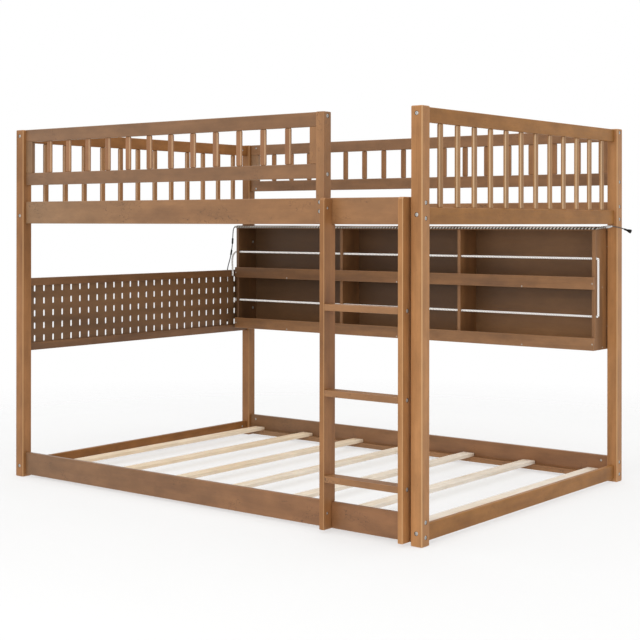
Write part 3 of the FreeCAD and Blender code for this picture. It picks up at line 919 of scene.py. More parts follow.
class Tree(Nodes):
    """A Geometry Nodes tree with a geometry and a material input and a geometry output.

    Args:
        name: the tree's name.
        inputs: the socket type of each further input, by its name.
    """

    def __init__(self, name: str, inputs: dict[str, str]) -> None:
        """Start the tree with its named inputs."""
        super().__init__(bpy.data.node_groups.new(name, "GeometryNodeTree"))
        face = self.tree.interface
        face.new_socket("Geometry", in_out="INPUT", socket_type="NodeSocketGeometry")
        self.ids = {title: face.new_socket(title, in_out="INPUT", socket_type=f"NodeSocket{kind}").identifier
                    for title, kind in {**inputs, "Material": "Material"}.items()}
        face.new_socket("Geometry", in_out="OUTPUT", socket_type="NodeSocketGeometry")
        self.into = self.node("NodeGroupInput").outputs

    def close(self, geometry: Socket) -> None:
        """End the tree in plain geometry with its material.

        Args:
            geometry: the geometry's socket.
        """
        real = self.node("GeometryNodeRealizeInstances", Geometry=geometry)
        dressed = self.node("GeometryNodeSetMaterial", Geometry=real.outputs["Geometry"],
                            Material=self.into["Material"])
        self.node("NodeGroupOutput", Geometry=dressed.outputs["Geometry"])

    def apply(self, name: str, base: bpy.types.Mesh, material: bpy.types.Material,
              values: dict[str, object]) -> bpy.types.Object:
        """Run the tree on a mesh and keep the result as a plain mesh.

        Args:
            name: the new piece's name.
            base: the mesh that the tree starts from.
            material: the material that the tree sets.
            values: the values of its named inputs.

        Returns:
            The finished piece.
        """
        piece = placed(name, base)
        change = piece.modifiers.new(name, "NODES")
        change.node_group = self.tree
        for title, value in {**values, "Material": material}.items():
            change[self.ids[title]] = value
        result = baked(piece)
        piece.modifiers.clear()
        piece.data = result
        bpy.data.meshes.remove(base)
        result.name = name
        return piece


def row_tree() -> Tree:
    """Make the tree that repeats a board in an even row.

    Returns:
        The tree.
    """
    tree = Tree("row_of_boards", {"Count": "Int", "Step": "Vector"})
    line = tree.node("GeometryNodeMeshLine", Count=tree.into["Count"], Offset=tree.into["Step"])
    place = tree.node("GeometryNodeInstanceOnPoints", Points=line.outputs["Mesh"],
                      Instance=tree.into["Geometry"])
    tree.close(place.outputs["Instances"])
    return tree


def scatter_tree() -> Tree:
    """Make the tree that puts a fastener at each point, turned to the point's own direction.

    Returns:
        The tree.
    """
    tree = Tree("fasteners", {"Fastener": "Object"})
    shape = tree.node("GeometryNodeObjectInfo", Object=tree.into["Fastener"])
    aim = tree.node("GeometryNodeInputNamedAttribute", data_type="FLOAT_VECTOR", Name="along")
    turn = tree.node("FunctionNodeAlignRotationToVector", axis="Z", Vector=aim.outputs["Attribute"])
    place = tree.node("GeometryNodeInstanceOnPoints", Points=tree.into["Geometry"],
                      Instance=shape.outputs["Geometry"], Rotation=turn.outputs["Rotation"])
    tree.close(place.outputs["Instances"])
    return tree


def slotted_tree() -> Tree:
    """Make the tree that fills an upright panel's outline round a grid of round-ended slots.

    Returns:
        The tree.
    """
    tree = Tree("slotted_panel", {
        "Width": "Float", "Height": "Float", "Thickness": "Float", "Slot Width": "Float",
        "Slot Run": "Float", "Columns": "Int", "Rows": "Int", "Grid Width": "Float",
        "Grid Height": "Float", "Rise": "Float"})
    into = tree.into
    outline = tree.node("GeometryNodeCurvePrimitiveQuadrilateral", Width=into["Width"],
                        Height=into["Height"])
    grid = tree.node("GeometryNodeMeshGrid", Size_X=into["Grid Width"], Size_Y=into["Grid Height"],
                     Vertices_X=into["Columns"], Vertices_Y=into["Rows"])
    slot = tree.node("GeometryNodeCurvePrimitiveQuadrilateral", Width=into["Slot Width"],
                     Height=into["Slot Run"])
    nearly_half = 0.499
    rounded = tree.node("GeometryNodeFilletCurve", mode="POLY", Count=5, Curve=slot.outputs["Curve"],
                        Radius=tree.maths("MULTIPLY", into["Slot Width"], nearly_half))
    rise = tree.node("ShaderNodeCombineXYZ", Y=into["Rise"])
    raised = tree.node("GeometryNodeTransform", Geometry=grid.outputs["Mesh"],
                       Translation=rise.outputs["Vector"])
    place = tree.node("GeometryNodeInstanceOnPoints", Points=raised.outputs["Geometry"],
                      Instance=rounded.outputs["Curve"])
    both = tree.node("GeometryNodeJoinGeometry", Geometry=place.outputs["Instances"])
    tree.feed(both, Geometry=outline.outputs["Curve"])
    curves = tree.node("GeometryNodeRealizeInstances", Geometry=both.outputs["Geometry"])
    fill = tree.node("GeometryNodeFillCurve", Curve=curves.outputs["Geometry"])
    out = tree.node("ShaderNodeCombineXYZ", Z=1.0)
    pull = tree.node("GeometryNodeExtrudeMesh", Individual=False, Mesh=fill.outputs["Mesh"],
                     Offset=out.outputs["Vector"], Offset_Scale=into["Thickness"])
    back = tree.node("GeometryNodeFlipFaces", Mesh=fill.outputs["Mesh"])
    walls = tree.node("GeometryNodeJoinGeometry", Geometry=pull.outputs["Mesh"])
    tree.feed(walls, Geometry=back.outputs["Mesh"])
    weld = tree.node("GeometryNodeMergeByDistance", Geometry=walls.outputs["Geometry"],
                     Distance=0.01 * MM)
    stand = tree.node("GeometryNodeTransform", Geometry=weld.outputs["Geometry"],
                      Rotation=(math.pi / 2, 0.0, math.pi / 2))
    tree.close(stand.outputs["Geometry"])
    return tree


# Places and sizes that several pieces share, in metres


@dataclass(frozen=True)
class Frame:
    """Places of the bed's frame that its pieces share."""

    post: float = 0.045
    post_out: float = 1.009
    front_out: float = -0.714
    rear_out: float = 0.746
    front_rail_out: float = -0.7005
    front_rail_in: float = -0.6825
    front_rail_middle: float = -0.6915
    rear_rail_middle: float = 0.7235
    end_rail_middle: float = 0.9865
    rail_half: float = 0.009
    rope_y: float = 0.616
    rope_upper: float = 0.9054
    rope_lower: float = 0.672


FRAME = Frame()
STRING_END: Point = (0.9722, 0.6728, 1.0324)


def new_line(name: str, points: Sequence[Point], depth: float, sides: int = 5) -> bpy.types.Object:
    """A round cord on one smooth spline.

    Args:
        name: the piece's name.
        points: the route's points.
        depth: the cord's radius, or 0 for the bare line.
        sides: how fine its section is.

    Returns:
        The curve object.
    """
    data = bpy.data.curves.new(name, "CURVE")
    data.dimensions = "3D"
    data.resolution_u = 10
    data.bevel_depth = depth
    data.bevel_resolution = sides
    data.use_fill_caps = True
    spline = data.splines.new("NURBS")
    spline.points.add(len(points) - 1)
    for point, place in zip(spline.points, points):
        point.co = (*place, 1.0)
    spline.order_u = 3
    spline.use_endpoint_u = True
    return placed(name, data)


def followed(points: Sequence[Point]) -> list[Vector]:
    """Find the points along a route's smooth spline.

    Args:
        points: the route's points.

    Returns:
        The spline's own points.
    """
    line = new_line("line", points, 0.0)
    mesh = baked(line)
    found = [vertex.co.copy() for vertex in mesh.vertices]
    bpy.data.meshes.remove(mesh)
    bpy.data.curves.remove(line.data)
    return found


def finished(piece: bpy.types.Object, slot: Slot, *nodes: str) -> bpy.types.Object:
    """Let a piece ride with the bed in place of its nodes.

    Args:
        piece: the piece.
        slot: not used.
        nodes: the nodes that it stands for.

    Returns:
        The same piece.
    """
    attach(piece, ROOT)
    if nodes:
        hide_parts(*nodes)
    LOG.info("%s stands for %s", piece.name, ", ".join(nodes) or "no node")
    return piece


# Camera, stage and cords


@dataclass(frozen=True)
class View:
    """The camera that took the photograph, its angles in degrees."""

    eye: Point = (3.4466, -4.3586, 1.053)
    yaw: float = 38.086
    roll: float = 0.0585
    lens: float = 76.3
    sensor: float = 36.0
    shift_y: float = -0.1537

    def place(self) -> bpy.types.Object:
        """Set the camera.

        Returns:
            The camera object.
        """
        data = bpy.data.cameras.new("camera")
        data.lens = self.lens
        data.sensor_width = self.sensor
        data.shift_y = self.shift_y
        made = placed("camera", data)
        turn = Matrix.Rotation(math.radians(self.yaw), 4, "Z") @ Matrix.Rotation(math.pi / 2, 4, "X")
        turn = turn @ Matrix.Rotation(math.radians(self.roll), 4, "Z")
        made.matrix_world = Matrix.Translation(self.eye) @ turn
        bpy.context.scene.camera = made
        bpy.context.scene.view_settings.view_transform = "Standard"
        return made


@dataclass(frozen=True)
class Lamp:
    """A square soft light that is aimed at the bed."""

    name: str
    spot: Point
    size: float
    power: float

    def place(self, target: Point) -> None:
        """Put the light in the scene.

        Args:
            target: the point that it is aimed at.
        """
        data = bpy.data.lights.new(self.name, "AREA")
        data.size = self.size
        data.energy = self.power
        aim = Vector(target) - Vector(self.spot)
        turn = aim.to_track_quat("-Z", "Y").to_matrix().to_4x4()
        placed(self.name, data).matrix_world = Matrix.Translation(self.spot) @ turn


@dataclass(frozen=True)
class Studio:
    """The pale floor, the white surround and the soft lights."""

    floor_radius: float = 4.6
    floor_sides: int = 96
    floor_shade: float = 0.9
    floor_unevenness: float = 0.01
    floor_weight: float = 0.4
    fade_start: float = 2.3
    fade_end: float = 3.6
    surround: float = 1.0
    fill: float = 0.70
    target: Point = (0.0, 0.0, 0.6)
    lamps: tuple[Lamp, ...] = (
        Lamp("key", (1.8, -6.6, 2.3), 2.6, 104.0),
        Lamp("side", (6.2, -2.2, 2.6), 3.0, 12.0),
        Lamp("top", (0.0, 0.0, 5.5), 7.0, 150.0),
    )

    def floor(self) -> None:
        """Lay the floor, which fades out round the bed."""
        mesh = bpy.data.meshes.new("floor")
        rim = [(self.floor_radius * math.cos(angle), self.floor_radius * math.sin(angle), 0.0)
               for angle in angles(self.floor_sides)]
        mesh.from_pydata(rim, [], [tuple(range(self.floor_sides))])
        shader = Shader("floor_paper")
        cloud = shader.noise(shader.place, 0.7, 3.0)
        low, high = self.floor_shade - self.floor_unevenness, self.floor_shade + self.floor_unevenness
        reach = shader.node("ShaderNodeVectorMath", operation="LENGTH")
        shader.link(shader.place, reach.inputs[0])
        seen = shader.span(reach.outputs["Value"], self.fade_start, self.fade_end, self.floor_weight, 0.0)
        shader.feed(shader.surface, Base_Color=shader.mix(cloud, (low,) * 3, (high,) * 3), Roughness=0.9,
                    Alpha=seen)
        floor = mesh_object("floor", mesh, shader.material)
        floor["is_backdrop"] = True

    def white(self) -> None:
        """Set the surround: white where it is seen, softer as a light."""
        world = bpy.data.worlds.new("surround")
        world.use_nodes = True
        bpy.context.scene.world = world
        sky = Nodes(world.node_tree)
        sky.tree.nodes.clear()
        rays = sky.node("ShaderNodeLightPath").outputs
        seen = sky.maths("MAXIMUM", rays["Is Camera Ray"], rays["Is Glossy Ray"])
        pick = sky.node("ShaderNodeMixShader", Fac=sky.maths("MAXIMUM", seen, rays["Is Transmission Ray"]))
        for index, strength in ((1, self.fill), (2, self.surround)):
            light = sky.node("ShaderNodeBackground", Color=(*UNTINTED, 1.0), Strength=strength)
            sky.link(light.outputs["Background"], pick.inputs[index])
        sky.node("ShaderNodeOutputWorld", Surface=pick.outputs["Shader"])

    def build(self) -> None:
        """Make the floor, the surround and the lights."""
        self.floor()
        self.white()
        for lamp in self.lamps:
            lamp.place(self.target)


@dataclass(frozen=True)
class Leads:
    """The two thin leads of the shelf's lights, with their fittings."""

    thickness: float = 0.0045
    right_length: float = 0.0514
    left_length: float = 0.4348
    right_path: tuple[Point, ...] = (
        (0.9929, 0.6883, 1.0353), (1.002, 0.6943, 1.0336), (1.014, 0.6963, 1.0318), (1.028, 0.6973, 1.0286),
        (1.041, 0.6982, 1.024))
    left_path: tuple[Point, ...] = (
        (-0.964, 0.5977, 1.027), (-0.971, 0.5976, 1.0236), (-0.9755, 0.5972, 1.014), (-0.977, 0.5966, 0.997),
        (-0.9776, 0.5956, 0.972), (-0.9788, 0.5946, 0.944), (-0.9815, 0.5925, 0.916), (-0.9848, 0.590, 0.889),
        (-0.9902, 0.5865, 0.861), (-0.9968, 0.583, 0.836), (-1.0005, 0.581, 0.812), (-1.0016, 0.5802, 0.770),
        (-1.0009, 0.5796, 0.710), (-1.002, 0.5794, 0.650), (-1.0016, 0.579, 0.600))
    connector_mouth: tuple[Ring, ...] = ((0.0, 0.0042), (0.0006, 0.0055))
    connector_shares: tuple[Ring, ...] = ((0.58, 0.0055), (0.66, 0.0045), (0.9, 0.0037), (1.0, 0.0028))
    right_plug: tuple[Ring, ...] = (
        (-0.001, 0.0028), (0.0, 0.0038), (0.012, 0.0040), (0.0145, 0.0044), (0.0150, 0.0050),
        (0.024, 0.0074), (0.0288, 0.0080), (0.0295, 0.0077), (0.0295, 0.0062), (0.0262, 0.0058))
    sleeve_spans: tuple[tuple[int, int], ...] = ((4, 5), (6, 7))
    sleeve_end: tuple[Ring, ...] = ((0.0, 0.0027), (0.0015, 0.0040), (0.004, 0.00425))
    left_plug_half: tuple[float, float] = (0.004, 0.008)
    left_plug_run: float = 0.036
    left_plug_ease: float = 0.0018

    def cord(self, name: str, route: Sequence[Point], finish: PlainFinish, node: str) -> bpy.types.Object:
        """Build one lead's cord.

        Args:
            name: the piece's name.
            route: its points.
            finish: its finish.
            node: the node that it stands for.

        Returns:
            The piece.
        """
        lead = new_line(name, route, self.thickness / 2)
        lead.data.materials.append(finish.material(name))
        return finished(lead, Slot.SHEATH, node)

    def right(self) -> None:
        """Build the short lead at the right end, its white connector and its black plug."""
        route = self.right_path
        lead = self.cord("right_lead_cord", route, SHEATH, "right_lead")
        along = Vector(route[0]) - Vector(STRING_END)
        run = along.length
        rings = (*self.connector_mouth, *((run * share, radius) for share, radius in self.connector_shares))
        connector = moulded("right_lead_connector", turned(STRING_END, along, rings), WHITE_CAP)
        end, before = Vector(route[-1]), Vector(route[-2])
        plug = moulded("right_lead_plug", turned(end, (end - before).normalized(), self.right_plug), BLACK)
        finished(connector, Slot.PLASTIC, "right_lead_fittings")
        finished(plug, Slot.PLASTIC)
        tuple(route[0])

    def left(self) -> None:
        """Build the long lead at the left end, its two sleeves and its flat plug."""
        route = self.left_path
        lead = self.cord("left_lead_cord", route, BLACK, "left_lead")
        shapes = []
        for first, last in self.sleeve_spans:
            start, end = Vector(route[first]), Vector(route[last])
            run = (end - start).length
            far_end = [(run - distance, radius) for distance, radius in reversed(self.sleeve_end)]
            shapes.append(turned(start, end - start, (*self.sleeve_end, *far_end)))
        end, (half_x, half_y) = Vector(route[-1]), self.left_plug_half
        shapes.append(eased_box(end - Vector((half_x, half_y, self.left_plug_run)),
                                end + Vector((half_x, half_y, 0.0)), self.left_plug_ease, 3))
        fittings = moulded("left_lead_ends", joined(shapes), BLACK)
        finished(fittings, Slot.PLASTIC, "left_lead_fittings")
        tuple(route[0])

    def build(self) -> None:
        """Build both leads."""
        self.right()
        self.left()


@dataclass(frozen=True)
class Twist:
    """A cord with ridges that wind round it."""

    width: float
    pitch: float
    ridge: float
    steps: int
    sides: int
    ridges: int = 2

    def spaced(self, line: Sequence[Vector]) -> list[tuple[Vector, float]]:
        """Space sections evenly along a line.

        Args:
            line: the line's points.

        Returns:
            Pairs of a section's place and its distance from the line's start.
        """
        found: list[tuple[Vector, float]] = []
        distance, step = 0.0, self.pitch / self.ridges / self.steps
        for start, end in zip(line, line[1:]):
            run = (end - start).length
            if run < NO_LENGTH:
                continue
            count = max(1, round(run / step))
            found += [(start.lerp(end, i / count), distance + run * i / count) for i in range(count)]
            distance += run
        return [*found, (line[-1], distance)]

    def build(self, name: str, path: Sequence[Point], finish: StrandFinish) -> bpy.types.Object:
        """Build the cord, each point marked from 0 to 1 by its place round the winding.

        Args:
            name: the piece's name.
            path: the route's points.
            finish: the cord's finish.

        Returns:
            The piece.
        """
        places = self.spaced(followed(path))
        shape = bmesh.new()
        tone = shape.verts.layers.float.new("strand")
        rows = []
        up = Vector((0.1, 0.3, 1.0))
        for index, (spot, along) in enumerate(places):
            before = places[max(index - 1, 0)][0]
            after = places[min(index + 1, len(places) - 1)][0]
            direction = (after - before).normalized()
            across = direction.cross(up).normalized()
            up = across.cross(direction).normalized()
            section = []
            for angle in angles(self.sides):
                turn = angle - 2 * math.pi * along / self.pitch
                wave = 0.5 + 0.5 * math.cos(self.ridges * turn)
                reach = self.width / 2 - self.ridge * (1.0 - wave)
                vertex = shape.verts.new(spot + reach * (math.cos(angle) * across + math.sin(angle) * up))
                vertex[tone] = 0.5 + 0.5 * math.cos(turn)
                section.append(vertex)
            rows.append(section)
        mesh = to_mesh(name, skinned(shape, rows), CORD_SMOOTH)
        return mesh_object(name, mesh, finish.material(name))


@dataclass(frozen=True)
class ShelfLights:
    """The ribbed rope light round the shelf and the twisted string light along its top."""

    rope: Twist = Twist(0.0095, 0.0156, 0.0015, 5, 10)
    string: Twist = Twist(0.010, 0.0158, 0.0010, 8, 12)
    rope_path: tuple[Point, ...] = (
        (-0.961, 0.578, 0.797), (-0.967, 0.583, 0.823), (-0.977, 0.590, 0.852), (-0.984, 0.602, 0.888),
        (-0.978, 0.616, 0.9054), (-0.9635, 0.616, 0.9054), (0.9552, 0.616, 0.9054), (0.9672, 0.616, 0.9054),
        (0.9672, 0.616, 0.8934), (0.9672, 0.616, 0.684), (0.9672, 0.616, 0.672), (0.9552, 0.616, 0.672),
        (-0.9685, 0.616, 0.672))
    string_path: tuple[Point, ...] = (
        (-0.964, 0.5977, 1.027), (0.9578, 0.5977, 1.027), (0.9658, 0.5977, 1.027), (0.9658, 0.6057, 1.0275),
        (0.9658, 0.668, 1.0315), STRING_END)
    tail_cap: tuple[Ring, ...] = ((-0.001, 0.0045), (0.0, 0.00475), (0.0065, 0.00475), (0.0078, 0.0038))
    end_cap: tuple[Ring, ...] = ((0.0, 0.0066), (0.0008, 0.0075), (0.0068, 0.0075), (0.0079, 0.0064))

    def rope_light(self) -> None:
        """Build the rope light: a pale ribbed cord, with its caps."""
        path = self.rope_path
        finished(self.rope.build("rope_light_tube", path, ROPE), Slot.TUBE, "shelf_rope_light")
        caps = joined((turned(path[0], Vector(path[0]) - Vector(path[1]), self.tail_cap),
                       turned(path[-1], (-1, 0, 0), self.end_cap)))
        finished(moulded("rope_light_ends", caps, WHITE_CAP), Slot.TUBE, "rope_light_caps")

    def string_light(self) -> None:
        """Build the string light: a pale strand and a dark one wound round each other."""
        string = self.string.build("string_light_strands", self.string_path, STRING)
        finished(string, Slot.TUBE, "shelf_string_light")

    def build(self) -> None:
        """Build both lights."""
        self.rope_light()
        self.string_light()


# Bolts, nuts and screws


@dataclass(frozen=True)
class Fitting:
    """A bolt with its round head sunk in the face of one board, its end in another's nut."""

    start: Point
    along: Point
    length: float
    through: str
    entered: str


@dataclass(frozen=True)
class BoltPlan:
    """Where the bolts and the rope's holes are."""

    end_rows: tuple[tuple[float, str], ...] = (
        (1.405, "top_rail"), (1.076, "upper_rail"), (0.044, "lower_rail"))
    bed_rows: tuple[tuple[float, str], ...] = (
        (0.030, "lower_rail"), (0.079, "lower_rail"), (1.064, "upper_rail"), (1.115, "upper_rail"))
    guard_rows: tuple[tuple[float, str], ...] = ((1.415, "guard_top_rail"), (1.215, "guard_middle_rail"))
    guard_post_right: float = 0.606
    guard_post_middle: float = 0.5885
    guard_post_depth: float = 0.035
    lap_heights: tuple[float, ...] = (1.088, 1.120)
    lap_length: float = 0.0255
    stiles: tuple[tuple[str, float, int], ...] = (("left", 0.6126, 1), ("right", 0.955, -1))
    stile_half: float = 0.010
    rung_rows: tuple[tuple[float, str], ...] = ((0.1833, "low"), (0.47335, "middle"), (0.7634, "high"))
    rung_bolt_y: float = -0.719
    rung_bolt_length: float = 0.058
    ladder_rows: tuple[tuple[float, str], ...] = ((0.065, "lower_rail"), (1.099, "upper_rail"))
    ladder_bolt_length: float = 0.039
    ladder_nut_y: float = -0.7265
    shelf_face: float = 0.9455
    shelf_bolt_y: float = 0.711
    shelf_bolt_heights: tuple[float, ...] = (0.629, 0.953)
    shelf_bolt_length: float = 0.0465
    divider_x: float = 0.31767
    divider_half: float = 0.0075
    rope_hole: float = 0.013
    rope_hole_depth: float = 0.017


@dataclass
class Hardware:
    """Every bolt and cross nut of the bed, with the holes that they need."""

    plan: BoltPlan = BoltPlan()
    head: float = 0.013
    head_thickness: float = 0.003
    head_sides: int = 24
    head_rim: tuple[Ring, ...] = ((0.0, 0.0008), (0.0004, 0.0002), (0.0009, 0.0))
    socket: float = 0.0029
    socket_depth: float = 0.0018
    recess: float = 0.015
    recess_depth: float = 0.0035
    shank: float = 0.006
    shank_clearance: float = 0.4 * MM
    nut: float = 0.010
    nut_length: float = 0.014
    nut_depth: float = 0.015
    nut_inset: float = 0.033
    nut_sides: int = 18
    nut_ease: float = 0.0006
    nut_dimple: float = 0.0026
    nut_dimple_floor: float = 0.0012
    nut_clearance: float = 0.2 * MM
    bolts: dict[str, list[Fitting]] = field(default_factory=dict)
    nuts: list[tuple[Point, Point]] = field(default_factory=list)
    drillings: dict[str, list[Drilling]] = field(default_factory=dict)

    def drill(self, board: str, hole: Drilling) -> None:
        """Remember a hole for a board's node."""
        self.drillings.setdefault(board, []).append(hole)

    def add_bolt(self, group: str, bolt: Fitting) -> None:
        """Add one bolt and its holes.

        Args:
            group: the node that the bolt belongs to.
            bolt: the bolt.
        """
        self.bolts.setdefault(group, []).append(bolt)
        bore = self.shank + self.shank_clearance
        start, along, length = bolt.start, bolt.along, bolt.length
        self.drill(bolt.through, Drilling(start, along, self.recess, self.recess_depth, bore, length))
        self.drill(bolt.entered, Drilling(start, along, bore, length))

    def add_nut(self, centre: Vector, inward: Vector, half: float, board: str) -> None:
        """Add one cross nut and its hole.

        Args:
            centre: where the bolt's axis meets it.
            inward: the direction that its hole opens to.
            half: half the board's thickness.
            board: the board that holds it.
        """
        mouth, into = tuple(centre + inward * half), tuple(-inward)
        self.nuts.append((mouth, into))
        self.drill(board, Drilling(mouth, into, self.nut + self.nut_clearance, self.nut_depth))

    def joint(self, start: Point, along: Point, inward: Point, depth: float, through: str,
              entered: str) -> None:
        """Add a bolt through an upright into a rail's end, with its cross nut.

        Args:
            start: where its axis meets the upright's face.
            along: its direction.
            inward: the direction that the nut's hole opens to.
            depth: the upright's depth.
            through: the upright.
            entered: the rail.
        """
        reach = depth + self.nut_inset
        start, along, inward = Vector(start), Vector(along), Vector(inward)
        bolt = Fitting(tuple(start), tuple(along), reach - self.nut / 2, through, entered)
        self.add_bolt("frame_bolts", bolt)
        self.add_nut(start + along * reach, inward, FRAME.rail_half, entered)

    def plan_posts(self) -> None:
        """List the bolts through the four posts."""
        plan = self.plan
        for x_sign, end in ((-1, "left"), (1, "right")):
            for y_sign, side in ((-1, "front"), (1, "rear")):
                post = f"{side}_{end}_post"
                to_middle_x, to_middle_y = (-x_sign, 0, 0), (0, -y_sign, 0)
                outer_y = FRAME.rear_out if y_sign > 0 else FRAME.front_out
                for z, rail in plan.end_rows:
                    self.joint((x_sign * FRAME.end_rail_middle, outer_y, z), to_middle_y, to_middle_x,
                               FRAME.post, post, f"{end}_{rail}")
                rail_y = FRAME.rear_rail_middle if y_sign > 0 else FRAME.front_rail_middle
                opening = (x_sign, y_sign) == (1, -1)
                for z, rail in plan.bed_rows if opening else (*plan.bed_rows, *plan.guard_rows):
                    self.joint((x_sign * FRAME.post_out, rail_y, z), to_middle_x, to_middle_y, FRAME.post,
                               post, f"{side}_{rail}")

    def plan_guard_post(self) -> None:
        """List the bolts of the guard post."""
        plan = self.plan
        for z, rail in plan.guard_rows:
            self.joint((plan.guard_post_right, FRAME.front_rail_middle, z), (-1, 0, 0), (0, 1, 0),
                       plan.guard_post_depth, "guard_post", f"front_{rail}")
        for z in plan.lap_heights:
            self.add_bolt("frame_bolts", Fitting((plan.guard_post_middle, FRAME.front_out, z), (0, 1, 0),
                                                 plan.lap_length, "guard_post", "front_upper_rail"))

    def plan_ladder(self) -> None:
        """List the bolts into the rungs, and those from the front rails into the stiles."""
        plan = self.plan
        for side, outer, sign in plan.stiles:
            stile, middle = f"ladder_{side}_stile", outer + sign * plan.stile_half
            for z, rung in plan.rung_rows:
                self.add_bolt("ladder_bolts", Fitting((outer, plan.rung_bolt_y, z), (sign, 0, 0),
                                                      plan.rung_bolt_length, stile, f"ladder_{rung}_rung"))
            for z, rail in plan.ladder_rows:
                self.add_bolt("ladder_bolts", Fitting((middle, FRAME.front_rail_in, z), (0, -1, 0),
                                                      plan.ladder_bolt_length, f"front_{rail}", stile))
                self.add_nut(Vector((middle, plan.ladder_nut_y, z)), Vector((sign, 0, 0)), plan.stile_half,
                             stile)

    def rope_holes(self, board: str, x: float, sign: int) -> None:
        """List the rope's two holes through an upright board of the shelf.

        Args:
            board: the board's node.
            x: where the holes start.
            sign: the way they go along X.
        """
        for z in (FRAME.rope_upper, FRAME.rope_lower):
            self.drill(board, Drilling((x, FRAME.rope_y, z), (sign, 0, 0), self.plan.rope_hole,
                                       self.plan.rope_hole_depth))

    def plan_shelf(self) -> None:
        """List the shelf's bolts and the rope's holes."""
        plan = self.plan
        for sign, end in ((-1, "left"), (1, "right")):
            side = f"shelf_{end}_side"
            for z in plan.shelf_bolt_heights:
                start = (sign * plan.shelf_face, plan.shelf_bolt_y, z)
                self.add_bolt("shelf_bolts", Fitting(start, (sign, 0, 0), plan.shelf_bolt_length, side,
                                                     f"rear_{end}_post"))
            self.rope_holes(side, sign * plan.shelf_face, sign)
        for x in (-plan.divider_x, plan.divider_x):
            self.rope_holes("shelf_dividers", x - plan.divider_half, 1)

    def schedule(self) -> None:
        """List every bolt and nut with their holes, and the rope's holes."""
        self.plan_posts()
        self.plan_guard_post()
        self.plan_ladder()
        self.plan_shelf()

    def bolt_shape(self, length: float) -> Shape:
        """One bolt along +Z: a round flat head with a hexagonal socket, and its shank.

        Args:
            length: from the face of the wood to the bolt's tail.

        Returns:
            The bolt as a bmesh.
        """
        shape = bmesh.new()

        def loop(distance: float, radius: float, hexagonal: bool = False) -> list[bmesh.types.BMVert]:
            """Make a ring of points, round or hexagonal.

            Args:
                distance: how far along +Z it lies.
                radius: its radius, to the corners of a hexagon.
                hexagonal: True for a hexagon.

            Returns:
                The points.
            """
            points = []
            for angle in angles(self.head_sides):
                reach = radius
                if hexagonal:
                    reach *= math.cos(math.pi / 6) / math.cos((angle % (math.pi / 3)) - math.pi / 6)
                points.append(shape.verts.new((reach * math.cos(angle), reach * math.sin(angle), distance)))
            return points

        top, radius = self.recess_depth - self.head_thickness, self.head / 2
        rows = [loop(top + self.socket_depth, self.socket, True), loop(top, self.socket, True),
                *(loop(top + down, radius - inset) for down, inset in self.head_rim),
                loop(self.recess_depth, radius), loop(self.recess_depth, self.shank / 2),
                loop(length, self.shank / 2)]
        return skinned(shape, rows)

    def nut_shape(self) -> Shape:
        """One cross nut: a barrel with eased ends and a dimple in its outer end.

        Returns:
            The nut as a bmesh, the face of the wood at the origin, +Z into the wood.
        """
        start, radius, ease = self.nut_depth - self.nut_length, self.nut / 2, self.nut_ease
        rings = ((start + self.nut_dimple_floor, self.nut_dimple_floor), (start, self.nut_dimple),
                 (start, radius - ease), (start + ease, radius), (self.nut_depth - ease, radius),
                 (self.nut_depth, radius - ease))
        return turned((0, 0, 0), (0, 0, 1), rings, self.nut_sides)

    def build(self, tree: Tree) -> None:
        """Build the bolts, by length, and the cross nuts.

        Args:
            tree: the tree that puts fasteners in place.
        """
        for node, bolts in self.bolts.items():
            for index, length in enumerate(sorted({bolt.length for bolt in bolts}, reverse=True)):
                points = [(bolt.start, bolt.along) for bolt in bolts if bolt.length == length]
                scattered(tree, f"{node}_{index + 1}", self.bolt_shape(length), points, ZINC, node)
        scattered(tree, "cross_nut_barrels", self.nut_shape(), self.nuts, ZINC, "cross_nuts")


HARDWARE = Hardware()


def scattered(tree: Tree, name: str, shape: Shape, points: Sequence[tuple[Point, Point]],
              finish: PlainFinish, *nodes: str) -> bpy.types.Object:
    """Put one fastener at each of several points.

    Args:
        tree: the tree that does it.
        name: the new piece's name.
        shape: the fastener, along +Z.
        points: pairs of a place and a direction.
        finish: its finish.
        nodes: the nodes that it stands for.

    Returns:
        The finished piece.
    """
    held = to_mesh("template", shape, FASTENER_SMOOTH)
    template = placed("template", held)
    base = bpy.data.meshes.new("places")
    base.from_pydata([place for place, _ in points], [], [])
    aim = base.attributes.new("along", "FLOAT_VECTOR", "POINT")
    aim.data.foreach_set("vector", [part for _, along in points for part in along])
    piece = tree.apply(name, base, finish.material(name), {"Fastener": template})
    bpy.data.objects.remove(template)
    bpy.data.meshes.remove(held)
    return finished(piece, Slot.STEEL, *nodes)


